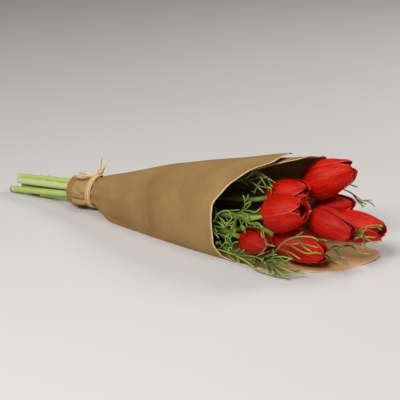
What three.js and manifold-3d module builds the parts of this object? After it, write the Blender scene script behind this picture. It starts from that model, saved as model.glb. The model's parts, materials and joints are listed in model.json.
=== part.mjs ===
// Artificial tulip bunch lying on a table: eight red tulips and plastic fern rolled in kraft paper
// and tied at the neck with raffia. Millimetres, +Z up. The origin is on the table, under the middle
// of the paper's flat belly, +X points from the cut stems to the flowers and -Y is the near side.
import * as THREE from 'three';
import { ParametricGeometry } from 'three/addons/geometries/ParametricGeometry.js';
import { mergeVertices } from 'three/addons/utils/BufferGeometryUtils.js';
import Module from 'manifold-3d';

const wasm = await Module();
wasm.setup();

// Driving sizes
const GAP = 0.3;
const TIE_X = -119;
const MOUTH = 244;
const TAIL = 131;
const LEAN = THREE.MathUtils.degToRad(6.5);
const NECK_ABOVE_TABLE = 7;

const STEM = {
  tailRadius: 3.8,
  neckRadius: 3.7,
  topRadius: 2.7,
  neckSlack: 0.6,
  tailSlack: 0.86,
  lead: 30,
  nod: 18,
  flare: 5,
  flangeRadius: 5,
  sides: 7,
  steps: 9,
};
const WIRE = { radius: 1.2, clearance: 0.5, sides: 5 };
const PEG = { radius: 1.9, clearance: 0.45, inSocket: 4.3 };
const PETAL = {
  thickness: 1.3,
  halfAngle: 1.12,
  innerHalfAngle: 1,
  whorlGap: 1.6,
  spiral: 0.7,
  footWidth: 0.75,
  footEnd: 0.35,
  taperStart: 0.52,
  stops: [0, 0.19, 0.4, 0.62, 0.83, 0.985],
  outerSides: 10,
  innerSides: 8,
};
const HUB = { thickness: 1.2, outerRadius: 6.4, innerRadius: 4.8, petalSeat: 1.6, sides: 9 };
const PISTIL = { wall: 1.15, waist: 2.1, head: 2.9, height: 18.8, sides: 7 };
const STAMEN = { count: 6, spread: 6, height: 16.5, root: 0.6, anther: 1 };
const TWIG = { stalk: 1, twig: 0.95, tip: 0.7, clearance: 0.9, tuck: 16, slotEnd: 14, sides: 4 };
const RAFFIA = { radius: 0.9, tipRadius: 0.55, loops: 3, pitch: 2.5, stepsPerLoop: 24, sides: 5 };
const KNOT = { along: 2, angle: 15, length: 8, width: 6.4, height: 5.6 };
const PAPER = {
  thickness: 0.8,
  layerGap: 0.5,
  rimFlare: 4,
  stemClearance: 0.3,
  tieMargin: 0.35,
  collarLength: 34,
  collarBulge: 1.6,
  collarCrest: 0.7,
  collarStops: [1, 0.8, 0.5],
  shoulder: 45,
  pleats: 9,
  pleatDepth: 1,
  collarPleat: 0.3,
  farSideWider: 1.24,
  bellySquash: 1.28,
  bellyPower: 0.6,
  columns: 48,
};

// The stems lie in the tie as a ring and one in the middle, which rests on the ring's lowest stem. Towards
// the cut ends the ring closes up slot by slot from its near lower side, so the upper stems converge
const RING_SLOTS = 7;
const FIRST_SLOT = 37.8;
const CLOSING_FROM = 4;
const TAIL_CLOSING = 3.3;
const SLOT_HALF_ANGLE = Math.PI / RING_SLOTS;
const NECK_RING = (STEM.neckRadius + STEM.neckSlack / 2) / Math.sin(SLOT_HALF_ANGLE);
const TAIL_RING = (STEM.tailRadius + STEM.tailSlack / 2) / Math.sin(SLOT_HALF_ANGLE);
const STEMS_RADIUS = Math.max(NECK_RING + STEM.neckRadius, TAIL_RING + STEM.tailRadius);
const PAPER_LAP = PAPER.thickness + PAPER.layerGap;
const PAPER_NECK = STEMS_RADIUS + PAPER.stemClearance + PAPER.pleatDepth + PAPER_LAP + PAPER.thickness;
const TIE_HEIGHT = PAPER_NECK + NECK_ABOVE_TABLE;
const TIE_HALF_WIDTH = (RAFFIA.loops * RAFFIA.pitch) / 2 + RAFFIA.radius + PAPER.tieMargin;
const BINDING_RADIUS = PAPER_NECK + PAPER.pleatDepth + GAP + RAFFIA.radius;
const PEG_BORE = PEG.radius + PEG.clearance;
const WHORL_RISE = HUB.thickness + PETAL.thickness;
const WHORL_STEP = PETAL.thickness + PETAL.whorlGap;
const CENTRE_LOW = WHORL_RISE + HUB.thickness + 4 * GAP;
const PEG_LENGTH = CENTRE_LOW + PEG.inSocket;

// Half width towards the near side and height of the paper cone at distances from the tie
const CONE_AT = [TIE_HALF_WIDTH, 14, PAPER.shoulder, ...[-140, -100, -50, 0, 50, 110].map((x) => MOUTH + x)];
const CONE_HALF_WIDTH = [PAPER_NECK, 22, 31, 43, 50, 56, 60, 64, 68];
const CONE_TOP = [TIE_HEIGHT + PAPER_NECK, 45, 54, 75, 85.5, 97.5, 111, 123, 137];
// How far the sheet reaches past the mouth at each turn of the roll: 0 is the top, 90 the far side,
// 180 the table and 270 the near side. It starts inside, near the top, and ends outside past it.
const RIM_TURN = [-22, -10, 1, 14, 45, 64, 90, 110, 128, 140, 158, 170, 180, 186, 203, 222, 226, 230,
  252, 285, 306, 323, 334, 342, 358, 368, 388];
const RIM_REACH = [-16, 8, 32, 34, 33, 36, 46, 61, 77, 89, 106, 102, 94, 77, 52, 31, 17, -32,
  -43, -45, -34, -21, -10, 7, 13, 12, 2];
const UNDER_LAP_END = 30;
const UNDER_LAP_FADE = 46;

// Loose raffia ends, from the knot's middle
const KNOT_TAILS = [
  [[0, 0, 0], [-1, 0.5, 8], [0, 2, 16]],
  [[0, 0, 0], [3.5, 5, 8], [7.6, 11.5, 16]],
  [[0, 0, 0], [2, 3, 4], [5, 6, 7.5]],
  [[0, 0, 0], [-8, -2, -1.2], [-16, -4, -4], [-29, -6, -6.5]],
  [[0, 0, 0], [-9, 1, -0.6], [-18, 2, -2.2], [-28, 2, -6]],
];

// Each tulip: slot in the tie, how much shorter its cut end is than the longest, head base from the mouth,
// head yaw and pitch and the turn of its first petal in degrees, head length and radius, and how open its
// tip is
const MIDDLE = null;
const BELOW_MIDDLE = 3;
const TULIPS = [
  { slot: 0, short: 7, base: [17.8, 35.3, 70],
    yaw: 15, pitch: 25, spin: -74, size: [60, 20.5], tip: 0.34 },
  { slot: 6, short: 7, base: [-7.3, 4.3, 61.5],
    yaw: 2, pitch: 19, spin: -150, size: [48, 16.8], tip: 0.25 },
  { slot: 5, short: 13, base: [9, -35, 55.3],
    yaw: 3.5, pitch: 18.4, spin: -40, size: [48, 20.2], tip: 0.46 },
  { slot: 4, short: 0, base: [-18, -34.4, 24.2],
    yaw: -12, pitch: 1, spin: -127, size: [40, 13.6], tip: 0.2 },
  { slot: 3, short: 43, via: [-60, -18, 20], base: [11.5, -16.5, 28],
    yaw: 1, pitch: -10.5, spin: -108, size: [62, 18], tip: 0.32 },
  { slot: MIDDLE, short: 13, via: [0, -9, 44.5], base: [46.5, 1, 53],
    yaw: -8, pitch: -10.5, spin: -115, size: [54, 15.8], tip: 0.36 },
  { slot: 1, short: 37, base: [24, 54, 41],
    yaw: -1.5, pitch: 13, spin: -127, size: [48, 13.8], tip: 0.3 },
  { slot: 2, short: 30, base: [63, 30.3, 37.6],
    yaw: 0, pitch: 1.3, spin: -54, size: [54, 17], tip: 0.42 },
];

// Each fern sprig: the slots that it lies between, its stalk's route and its side twigs' routes, all
// measured from the mouth
const SPRIGS = [
  { between: 5.5,
    stalk: [[-140, -15, 57], [-70, -14, 74], [-31, -10, 82], [-18, -10, 93], [-1, -10, 88], [8, -11, 85]],
    twigs: [
      [[-18, -10, 93], [-8, -12, 86], [-2, -14, 81], [5, -15, 79]],
      [[-8, -12, 86], [-12, -14, 80], [-9, -16, 76]],
      [[-31, -10, 82], [-16, -14, 80], [-2, -18, 74]],
    ] },
  { between: 4.5,
    stalk: [[-150, -30, 36], [-90, -40, 38], [-48, -46, 41], [-44, -46, 49], [-36, -46, 55], [-29, -46, 56],
      [-24, -48, 50], [-31, -50, 40]],
    twigs: [
      [[-48, -46, 41], [-40, -48, 41], [-32, -50, 38]],
      [[-48, -46, 41], [-46, -49, 31], [-39, -50, 24]],
      [[-29, -46, 56], [-20, -47, 54], [-22, -48, 35]],
      [[-20, -47, 54], [-9, -48, 53], [0, -50, 49], [12, -54, 54], [20, -58, 50], [23, -58, 38],
        [28, -57, 32]],
      [[-16, -47, 54], [-12, -48, 46], [-6, -50, 42]],
    ] },
  { between: 3.5,
    stalk: [[-190, -17, 13], [-120, -34, 10], [-50, -45, 9], [-17, -52, 10], [4, -56, 6], [12, -59, 4],
      [22, -61, 3], [47, -62, 3]],
    twigs: [
      [[-17, -52, 10], [-2, -53, 13], [16, -56, 15], [25, -58, 11]],
      [[10, -59, 5], [23, -57, 11], [31, -56, 19], [42, -56, 23], [54, -55, 23]],
      [[25, -58, 11], [33, -58, 13], [44, -58, 12], [58, -58, 9]],
      [[25, -58, 11], [36, -60, 10], [47, -61, 5], [54, -62, 3]],
      [[16, -56, 15], [32, -53, 25], [37, -46, 33], [44, -43, 39], [56, -42, 44], [72, -42, 46],
        [77, -42, 44]],
      [[37, -46, 33], [46, -44, 32], [55, -43, 29], [64, -42, 27], [77, -42, 31]],
      [[52, -42, 43], [60, -42, 34], [70, -42, 30]],
      [[35, -50, 28], [46, -44, 24], [58, -43, 19]],
    ] },
  { between: 2.5,
    stalk: [[-170, 5, 9], [-70, 6, 8], [20, 7, 9], [55, 6, 12], [76, 3, 19], [85, 4, 24], [93, 5, 32],
      [101, 6, 37], [119, 8, 40]],
    twigs: [
      [[93, 5, 32], [100, 7, 43], [108, 8, 50], [121, 8, 54], [127, 8, 54]],
      [[100, 7, 43], [110, 6, 37], [117, 6, 35], [127, 8, 38]],
      [[85, 4, 24], [95, 4, 26], [103, 2, 22], [116, 2, 22]],
      [[76, 3, 19], [82, 0, 14], [90, -2, 13]],
      [[55, 6, 12], [70, 0, 9], [81, -4, 7]],
    ] },
  { between: 0.5,
    stalk: [[-160, 25, 46], [-70, 48, 60], [5, 62, 66], [50, 65, 64], [62, 67, 60], [74, 66, 55],
      [84, 66, 55]],
    twigs: [
      [[62, 67, 60], [70, 68, 51], [78, 67, 48]],
      [[40, 65, 65], [56, 64, 71], [70, 64, 70]],
    ] },
];

const PAINT = {
  paper: [0xa9854f, 0.85],
  raffia: [0xd9bb88, 0.7],
  stem: [0xaecb6c, 0.5],
  wire: [0x8c8f92, 0.4],
  outer: [0xcf1d14, 0.42],
  inner: [0xb81510, 0.45],
  centre: [0x6d7a2a, 0.6],
  fern: [0x6f9a3a, 0.5],
};

// Solids and surfaces
function paint([color, roughness], metalness = 0) {
  return new THREE.MeshStandardMaterial({ color, roughness, metalness });
}

function toSolid(geometry) {
  geometry.deleteAttribute('normal');
  geometry.deleteAttribute('uv');
  const merged = mergeVertices(geometry, 1e-4);
  const index = [...merged.index.array];
  const kept = [];
  for (let i = 0; i < index.length; i += 3) {
    const [a, b, c] = index.slice(i, i + 3);
    if (a !== b && b !== c && c !== a) kept.push(a, b, c);
  }
  const vertProperties = new Float32Array(merged.attributes.position.array);
  return new wasm.Manifold(new wasm.Mesh({ numProp: 3, vertProperties, triVerts: new Uint32Array(kept) }));
}

function toMesh(name, solid, material) {
  const { vertProperties, triVerts, numProp } = solid.getMesh();
  const geometry = new THREE.BufferGeometry();
  const points = [];
  for (let i = 0; i < vertProperties.length; i += numProp) points.push(...vertProperties.slice(i, i + 3));
  geometry.setAttribute('position', new THREE.Float32BufferAttribute(points, 3));
  geometry.setIndex([...triVerts]);
  geometry.computeVertexNormals();
  const mesh = new THREE.Mesh(geometry, material);
  mesh.name = name;
  return mesh;
}

function table(at, values, x) {
  const last = at.length - 1;
  if (x <= at[0]) return values[0];
  if (x >= at[last]) return values[last];
  const i = at.findIndex((edge) => edge >= x);
  return THREE.MathUtils.mapLinear(x, at[i - 1], at[i], values[i - 1], values[i]);
}

// A skin through rows of points, each row a closed loop
function skin(rows) {
  const sides = rows[0].length;
  const place = (s, t, target) => {
    target.copy(rows[Math.round(t * (rows.length - 1))][Math.round(s * sides) % sides]);
  };
  return toSolid(new ParametricGeometry(place, sides, rows.length - 1));
}

// A closed solid through rings of points: each end closes on its own middle point
function loft(rings) {
  const sides = rings[0].length;
  const middle = (ring) => ring.reduce((sum, p) => sum.add(p), new THREE.Vector3()).divideScalar(sides);
  return skin([Array(sides).fill(middle(rings[0])), ...rings, Array(sides).fill(middle(rings.at(-1)))]);
}

// A round skin along a route of stops, each with its centre, its direction and its radius
function tube(stops, sides) {
  const side = new THREE.Vector3(0, 1, 0);
  return loft(stops.map(({ at, way, radius }) => {
    const across = new THREE.Vector3().crossVectors(side, way).normalize();
    const over = new THREE.Vector3().crossVectors(way, across).normalize();
    return Array.from({ length: sides }, (_, k) => {
      const turn = (2 * Math.PI * k) / sides;
      const point = at.clone().addScaledVector(across, radius * Math.cos(turn));
      return point.addScaledVector(over, radius * Math.sin(turn));
    });
  }));
}

function vector([x, y, z]) {
  return new THREE.Vector3(x, y, z);
}

function fromMouth([x, y, z]) {
  return new THREE.Vector3(MOUTH + x, y, z);
}

// A place in the tie's own frame: along the leaning axis, then out from it at an angle from the top
const ALONG = new THREE.Vector3(Math.cos(LEAN), 0, Math.sin(LEAN));
const RISE = new THREE.Vector3(-Math.sin(LEAN), 0, Math.cos(LEAN));
function slotAngle(slot) {
  return FIRST_SLOT + (360 * slot) / RING_SLOTS;
}

function tailAngle(slot) {
  return slotAngle(slot) + TAIL_CLOSING * ((CLOSING_FROM - slot + RING_SLOTS) % RING_SLOTS);
}

function fromTie(along, degrees, radius) {
  const turn = THREE.MathUtils.degToRad(degrees);
  const point = new THREE.Vector3(0, radius * Math.sin(turn), TIE_HEIGHT);
  return point.addScaledVector(ALONG, along).addScaledVector(RISE, radius * Math.cos(turn));
}

// Kraft paper: one sheet rolled into a cone, flat where it lies on the table, pleated at the neck
function underLap(turn) {
  return 1 - THREE.MathUtils.smoothstep(turn, UNDER_LAP_END, UNDER_LAP_FADE);
}

function paperPoint(x, turn, inset) {
  const { lerp, clamp, smoothstep } = THREE.MathUtils;
  const angle = THREE.MathUtils.degToRad(turn);
  const [s, c] = [Math.sin(angle), Math.cos(angle)];
  const out = smoothstep(x, PAPER.shoulder, MOUTH + table(RIM_TURN, RIM_REACH, turn));
  const collar = clamp((-x - TIE_HALF_WIDTH) / (PAPER.collarLength - TIE_HALF_WIDTH), 0, 1);
  const neck = 1 - smoothstep(x, TIE_HALF_WIDTH, PAPER.shoulder);
  const pleat = PAPER.pleatDepth * neck * lerp(1, PAPER.collarPleat, collar) * Math.cos(PAPER.pleats * angle);
  const lap = underLap(turn) * (PAPER_LAP + PAPER.rimFlare * out);
  const bulge = PAPER.collarBulge * Math.sin(Math.PI * collar ** PAPER.collarCrest);
  const push = bulge + pleat - lap - inset;
  const axis = TIE_HEIGHT + x * Math.tan(LEAN);
  const halfWidth = table(CONE_AT, CONE_HALF_WIDTH, x);
  const top = x < TIE_HALF_WIDTH ? axis + PAPER_NECK : table(CONE_AT, CONE_TOP, x);
  const middle = lerp(top / 2, axis, neck);
  const below = lerp(middle * PAPER.bellySquash, halfWidth, neck);
  const power = c < 0 ? lerp(PAPER.bellyPower, 1, neck) : 1;
  const wider = s > 0 ? lerp(PAPER.farSideWider, 1, neck) : 1;
  const y = (halfWidth * wider + push) * Math.sign(s) * Math.abs(s) ** power;
  const z = middle + ((c < 0 ? below : top - middle) + push) * Math.sign(c) * Math.abs(c) ** power;
  return new THREE.Vector3(x, y, Math.max(z, inset));
}

function paperSheet() {
  const tie = TIE_HALF_WIDTH;
  const { collarLength, shoulder, columns } = PAPER;
  const collarStops = PAPER.collarStops.map((part) => -part * collarLength);
  const neckStops = [...collarStops, -tie, tie, shoulder / 3, shoulder];
  const coneStops = [0.2, 0.4, 0.6, 0.8, 1];
  const [first, last] = [RIM_TURN[0], RIM_TURN.at(-1)];
  const turns = Array.from({ length: columns + 1 }, (_, i) => first + ((last - first) * i) / columns);
  const stopAt = (row, turn) => {
    if (row < neckStops.length) return neckStops[row];
    const reach = MOUTH + table(RIM_TURN, RIM_REACH, turn);
    return THREE.MathUtils.lerp(shoulder, reach, coneStops[row - neckStops.length]);
  };
  const face = (row, inset) => turns.map((turn) => paperPoint(stopAt(row, turn), turn, inset));
  const rows = [];
  for (let row = 0; row < neckStops.length + coneStops.length; row++) {
    rows.push([...face(row, PAPER.thickness), ...face(row, 0).reverse()]);
  }
  const edge = (row) => {
    const half = row.map((p, i) => p.clone().lerp(row[row.length - 1 - i], 0.5));
    return half.map((p, i) => (i < turns.length ? p : half[row.length - 1 - i]));
  };
  return skin([edge(rows[0]), ...rows, edge(rows.at(-1))]);
}

// Raffia: an unbroken winding round the neck, and a knot with its loose ends
function raffiaBinding() {
  const steps = RAFFIA.loops * RAFFIA.stepsPerLoop;
  const start = THREE.MathUtils.degToRad(KNOT.angle);
  const centres = Array.from({ length: steps + 1 }, (_, i) => {
    const turn = start + (2 * Math.PI * i) / RAFFIA.stepsPerLoop;
    const x = RAFFIA.pitch * (i / RAFFIA.stepsPerLoop - RAFFIA.loops / 2);
    const axis = TIE_HEIGHT + x * Math.tan(LEAN);
    return new THREE.Vector3(x, BINDING_RADIUS * Math.sin(turn), axis + BINDING_RADIUS * Math.cos(turn));
  });
  let least = Infinity;
  for (let i = 0; i + RAFFIA.stepsPerLoop <= steps; i++) {
    least = Math.min(least, centres[i].distanceTo(centres[i + RAFFIA.stepsPerLoop]));
  }
  console.log('raffia winding, least gap to itself:', (least - 2 * RAFFIA.radius).toFixed(2), 'mm');
  const rings = centres.map((at, i) => {
    const way = centres[Math.min(i + 1, steps)].clone().sub(centres[Math.max(i - 1, 0)]).normalize();
    const over = new THREE.Vector3(1, 0, 0).addScaledVector(way, -way.x).normalize();
    const out = new THREE.Vector3().crossVectors(way, over);
    return Array.from({ length: RAFFIA.sides }, (_, k) => {
      const turn = (2 * Math.PI * k) / RAFFIA.sides;
      const point = at.clone().addScaledVector(over, RAFFIA.radius * Math.cos(turn));
      return point.addScaledVector(out, RAFFIA.radius * Math.sin(turn));
    });
  });
  return loft(rings);
}

function raffiaKnot() {
  const centre = fromTie(KNOT.along, KNOT.angle, BINDING_RADIUS + RAFFIA.radius + GAP + KNOT.height / 2);
  const body = new THREE.SphereGeometry(0.5, 10, 7);
  body.scale(KNOT.length, KNOT.width, KNOT.height);
  body.rotateX(-THREE.MathUtils.degToRad(KNOT.angle));
  body.translate(centre.x, centre.y, centre.z);
  let solid = toSolid(body);
  for (const tail of KNOT_TAILS) {
    const points = tail.map((p) => vector(p).add(centre));
    const stops = twigStops(points, RAFFIA.radius, RAFFIA.tipRadius, 2 * tail.length - 2);
    solid = solid.add(tube(stops, RAFFIA.sides));
  }
  return solid;
}

// Tulips
function headWay({ yaw, pitch }) {
  const [a, b] = [THREE.MathUtils.degToRad(yaw), THREE.MathUtils.degToRad(pitch)];
  return new THREE.Vector3(Math.cos(b) * Math.cos(a), Math.cos(b) * Math.sin(a), Math.sin(b));
}

function stemRoute(tulip) {
  const slot = tulip.slot ?? BELOW_MIDDLE;
  const out = (ring, radius) => (tulip.slot === MIDDLE ? ring - 2 * radius - GAP : ring);
  const end = fromTie(tulip.short - TAIL, tailAngle(slot), out(TAIL_RING, STEM.tailRadius));
  const neck = fromTie(0, slotAngle(slot), out(NECK_RING, STEM.neckRadius));
  const base = fromMouth(tulip.base);
  const straight = neck.clone().sub(end).normalize();
  const lead = neck.clone().addScaledVector(straight, STEM.lead);
  const arrive = base.clone().addScaledVector(headWay(tulip), -STEM.nod);
  const via = tulip.via ? [fromMouth(tulip.via)] : [];
  return { end, neck, straight, bend: new THREE.CatmullRomCurve3([neck, lead, ...via, arrive, base]) };
}

// Stops along a stem from its cut end to a little short of the head, with a radius at each
function stemStops(tulip, [atTail, atNeck, atTop], stopShort) {
  const { end, neck, straight, bend } = stemRoute(tulip);
  const last = 1 - stopShort / bend.getLength();
  const stops = [{ at: end, way: straight, radius: atTail }, { at: neck, way: straight, radius: atNeck }];
  for (let i = 1; i <= STEM.steps; i++) {
    const t = (last * i) / STEM.steps;
    const radius = THREE.MathUtils.lerp(atNeck, atTop, i / STEM.steps);
    stops.push({ at: bend.getPointAt(t), way: bend.getTangentAt(t), radius });
  }
  return stops;
}

function stem(tulip) {
  const stops = stemStops(tulip, [STEM.tailRadius, STEM.neckRadius, STEM.topRadius], STEM.flare);
  const [base, way] = [fromMouth(tulip.base), headWay(tulip)];
  const add = (distance, radius) => {
    stops.push({ at: base.clone().addScaledVector(way, distance), way, radius });
  };
  add(-0.4 * STEM.flare, (STEM.topRadius + STEM.flangeRadius) / 2);
  add(0, STEM.flangeRadius);
  add(0, PEG.radius);
  add(PEG_LENGTH, PEG.radius);
  const boreRadius = WIRE.radius + WIRE.clearance;
  const bore = stemStops(tulip, [boreRadius, boreRadius, boreRadius], STEM.flare);
  bore[0].at = bore[0].at.clone().addScaledVector(bore[0].way, -1);
  return tube(stops, STEM.sides).subtract(tube(bore, WIRE.sides));
}

function wire(tulip) {
  const stops = stemStops(tulip, [WIRE.radius, WIRE.radius, WIRE.radius], STEM.flare + GAP);
  stops[0].at = stops[0].at.clone().addScaledVector(stops[0].way, GAP);
  return tube(stops, WIRE.sides);
}

function petal(profile, spin, halfAngle, spiral, sides) {
  return loft(PETAL.stops.map((t) => {
    const [middle, way] = [profile.getPoint(t), profile.getTangent(t)];
    const along = Math.max(t - PETAL.taperStart, 0) / (1 - PETAL.taperStart);
    const grown = Math.min(t / PETAL.footEnd, 1);
    const half = halfAngle * THREE.MathUtils.lerp(PETAL.footWidth, 1, grown) * Math.sqrt(1 - along ** 2);
    return Array.from({ length: sides }, (_, k) => {
      const turn = (2 * Math.PI * k) / sides;
      const angle = spin - half * Math.cos(turn);
      const lift = (PETAL.thickness / 2) * Math.sin(turn) - spiral * grown * Math.cos(turn);
      const radius = middle.x + lift * way.y;
      const height = middle.y - lift * way.x;
      return new THREE.Vector3(radius * Math.cos(angle), radius * Math.sin(angle), height);
    });
  }));
}

function whorl({ size: [length, radius], tip, spin }, inner) {
  const rise = inner ? WHORL_RISE : 0;
  const low = GAP + rise;
  const rim = inner ? HUB.innerRadius : HUB.outerRadius;
  const r = radius - (inner ? WHORL_STEP : 0);
  const profile = new THREE.SplineCurve([
    new THREE.Vector2(rim - HUB.petalSeat, low + HUB.thickness / 2),
    new THREE.Vector2(0.62 * r, 0.06 * length + rise),
    new THREE.Vector2(0.93 * r, 0.22 * length + 0.6 * rise),
    new THREE.Vector2(r, 0.42 * length),
    new THREE.Vector2(0.92 * r, 0.63 * length),
    new THREE.Vector2(0.73 * r, (inner ? 0.8 : 0.82) * length),
    new THREE.Vector2(THREE.MathUtils.lerp(tip, 0.73, 0.55) * r, (inner ? 0.9 : 0.94) * length),
    new THREE.Vector2((inner ? 0.8 : 1) * tip * r, (inner ? 0.95 : 1) * length),
  ]);
  const ring = new THREE.LatheGeometry([
    new THREE.Vector2(PEG_BORE, low),
    new THREE.Vector2(rim, low),
    new THREE.Vector2(rim, low + HUB.thickness),
    new THREE.Vector2(PEG_BORE, low + HUB.thickness),
    new THREE.Vector2(PEG_BORE, low),
  ], HUB.sides);
  ring.rotateX(Math.PI / 2);
  let solid = toSolid(ring);
  for (let k = 0; k < 3; k++) {
    const turn = THREE.MathUtils.degToRad(spin + 120 * k + (inner ? 60 : 0));
    const leaf = inner
      ? petal(profile, turn, PETAL.innerHalfAngle, 0, PETAL.innerSides)
      : petal(profile, turn, PETAL.halfAngle, PETAL.spiral, PETAL.outerSides);
    solid = solid.add(leaf);
  }
  const bore = new THREE.CylinderGeometry(PEG_BORE, PEG_BORE, 4 * HUB.thickness, HUB.sides);
  bore.rotateX(Math.PI / 2);
  bore.translate(0, 0, low + HUB.thickness / 2);
  return solid.subtract(toSolid(bore));
}

function flowerCentre() {
  const shoulder = PEG_BORE + PISTIL.wall;
  const pistil = new THREE.LatheGeometry([
    new THREE.Vector2(0, PEG_LENGTH + GAP),
    new THREE.Vector2(PEG_BORE, PEG_LENGTH + GAP),
    new THREE.Vector2(PEG_BORE, CENTRE_LOW),
    new THREE.Vector2(shoulder, CENTRE_LOW),
    new THREE.Vector2(shoulder, PEG_LENGTH + PISTIL.wall),
    new THREE.Vector2(PISTIL.waist, PISTIL.height - PISTIL.head),
    new THREE.Vector2(PISTIL.head, PISTIL.height - PISTIL.head / 2),
    new THREE.Vector2(0, PISTIL.height),
  ], PISTIL.sides);
  pistil.rotateX(Math.PI / 2);
  let solid = toSolid(pistil);
  for (let k = 0; k < STAMEN.count; k++) {
    const angle = (2 * Math.PI * k) / STAMEN.count;
    const place = (r, h) => new THREE.Vector3(r * Math.cos(angle), r * Math.sin(angle), h);
    const root = place(shoulder - STAMEN.root, (CENTRE_LOW + PEG_LENGTH) / 2);
    const end = place(STAMEN.spread, STAMEN.height);
    const way = end.clone().sub(root).normalize();
    const stops = [{ at: root, way, radius: STAMEN.root }, { at: end, way, radius: STAMEN.anther }];
    solid = solid.add(tube(stops, 3));
  }
  return solid;
}

// Plastic fern
function twigStops(points, from, to, steps) {
  const route = new THREE.CatmullRomCurve3(points);
  return Array.from({ length: steps + 1 }, (_, i) => {
    const t = i / steps;
    return { at: route.getPointAt(t), way: route.getTangentAt(t), radius: THREE.MathUtils.lerp(from, to, t) };
  });
}

function fernSprig({ between, stalk, twigs }) {
  const reach = STEM.neckRadius + TWIG.clearance + TWIG.stalk;
  const beside = NECK_RING * Math.sin(SLOT_HALF_ANGLE);
  const ring = NECK_RING * Math.cos(SLOT_HALF_ANGLE) + Math.sqrt(reach ** 2 - beside ** 2);
  const angle = slotAngle(between);
  const tucked = [fromTie(-TWIG.tuck, angle, ring), fromTie(TWIG.slotEnd, angle, ring)];
  const grown = twigStops([...tucked, ...stalk.map(fromMouth)], TWIG.stalk, TWIG.tip, stalk.length + 6);
  let solid = tube(grown, TWIG.sides);
  for (const points of twigs) {
    const [start, ...onward] = points.map(fromMouth);
    const nearest = (a, b) => (a.at.distanceTo(start) < b.at.distanceTo(start) ? a : b);
    const root = grown.reduce(nearest).at;
    const stops = twigStops([root, ...onward], TWIG.twig, TWIG.tip, points.length + 1);
    solid = solid.add(tube(stops, TWIG.sides));
    grown.push(...stops);
  }
  return solid;
}

// Assembly
const bunch = new THREE.Group();
bunch.name = 'artificial_tulip_bunch';
const atTie = new THREE.Group();
atTie.position.x = TIE_X;
bunch.add(atTie);

atTie.add(toMesh('kraft_wrapper', paperSheet(), paint(PAINT.paper)));
atTie.add(toMesh('raffia_binding', raffiaBinding(), paint(PAINT.raffia)));
atTie.add(toMesh('raffia_knot', raffiaKnot(), paint(PAINT.raffia)));

TULIPS.forEach((tulip, i) => {
  const name = `tulip_${i + 1}`;
  atTie.add(toMesh(`${name}_stem`, stem(tulip), paint(PAINT.stem)));
  atTie.add(toMesh(`${name}_wire`, wire(tulip), paint(PAINT.wire, 0.9)));
  const head = new THREE.Group();
  head.position.copy(fromMouth(tulip.base));
  head.quaternion.setFromUnitVectors(new THREE.Vector3(0, 0, 1), headWay(tulip));
  head.add(toMesh(`${name}_outer_petals`, whorl(tulip, false), paint(PAINT.outer)));
  head.add(toMesh(`${name}_inner_petals`, whorl(tulip, true), paint(PAINT.inner)));
  head.add(toMesh(`${name}_centre`, flowerCentre(), paint(PAINT.centre)));
  atTie.add(head);
});

SPRIGS.forEach((sprig, i) => {
  atTie.add(toMesh(`fern_sprig_${i + 1}`, fernSprig(sprig), paint(PAINT.fern)));
});

export default bunch;
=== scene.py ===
# %% [markdown]
# # A bunch of artificial tulips in kraft paper
# Eight red tulips and some plastic fern are rolled in brown paper, tied at the neck with raffia and laid
# on a table. The packed solids give every piece its place. Each one is drawn again here as a fine surface
# with its own finish, in the same frame, so nothing has to be fitted by eye.

# %% The frame
import json
from collections import namedtuple

import bmesh
import bpy
import numpy as np
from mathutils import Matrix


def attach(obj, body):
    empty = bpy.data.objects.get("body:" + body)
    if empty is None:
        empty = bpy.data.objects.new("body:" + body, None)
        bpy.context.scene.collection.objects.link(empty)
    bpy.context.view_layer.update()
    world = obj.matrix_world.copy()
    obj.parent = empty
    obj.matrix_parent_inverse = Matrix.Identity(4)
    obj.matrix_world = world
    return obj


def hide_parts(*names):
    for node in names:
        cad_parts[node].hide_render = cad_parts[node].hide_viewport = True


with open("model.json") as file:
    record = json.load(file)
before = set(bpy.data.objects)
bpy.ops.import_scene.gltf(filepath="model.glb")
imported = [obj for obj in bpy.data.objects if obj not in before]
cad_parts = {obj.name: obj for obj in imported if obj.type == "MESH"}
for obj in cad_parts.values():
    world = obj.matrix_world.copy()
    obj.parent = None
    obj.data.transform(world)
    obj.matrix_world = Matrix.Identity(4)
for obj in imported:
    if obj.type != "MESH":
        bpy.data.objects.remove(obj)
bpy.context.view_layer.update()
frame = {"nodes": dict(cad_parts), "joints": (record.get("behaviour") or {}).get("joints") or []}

# %% [markdown]
# ## Camera
# The bunch is seen from its near right side and a little above, through a long lens that keeps the far
# flowers almost as big as the near ones. A lens of 1200 pixels on a picture 400 pixels wide is worked out
# into millimetres on a 36 mm sensor, so the view doesn't depend on the render size.

# %% Camera
AZIMUTH, ELEVATION = np.radians(33), np.radians(20)
SENSOR, LENS_PIXELS, PICTURE_PIXELS = 36, 1200, 400
camera_data = bpy.data.cameras.new("camera")
camera_data.sensor_width = SENSOR
camera_data.lens = SENSOR * LENS_PIXELS / PICTURE_PIXELS
camera = bpy.data.objects.new("camera", camera_data)
camera.location = (0.72778, -1.07578, 0.50858)
camera.rotation_euler = (np.pi / 2 - ELEVATION, 0, AZIMUTH)
bpy.context.collection.objects.link(camera)
bpy.context.scene.camera = camera
print("lens:", camera_data.lens, "mm")

# %% [markdown]
# ## Shader arithmetic
# Finishes could be drawn as a web of nodes, but a sum is easier to read. `Signal` wraps one socket, and
# adding, subtracting or multiplying signals adds the Math nodes.


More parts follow.
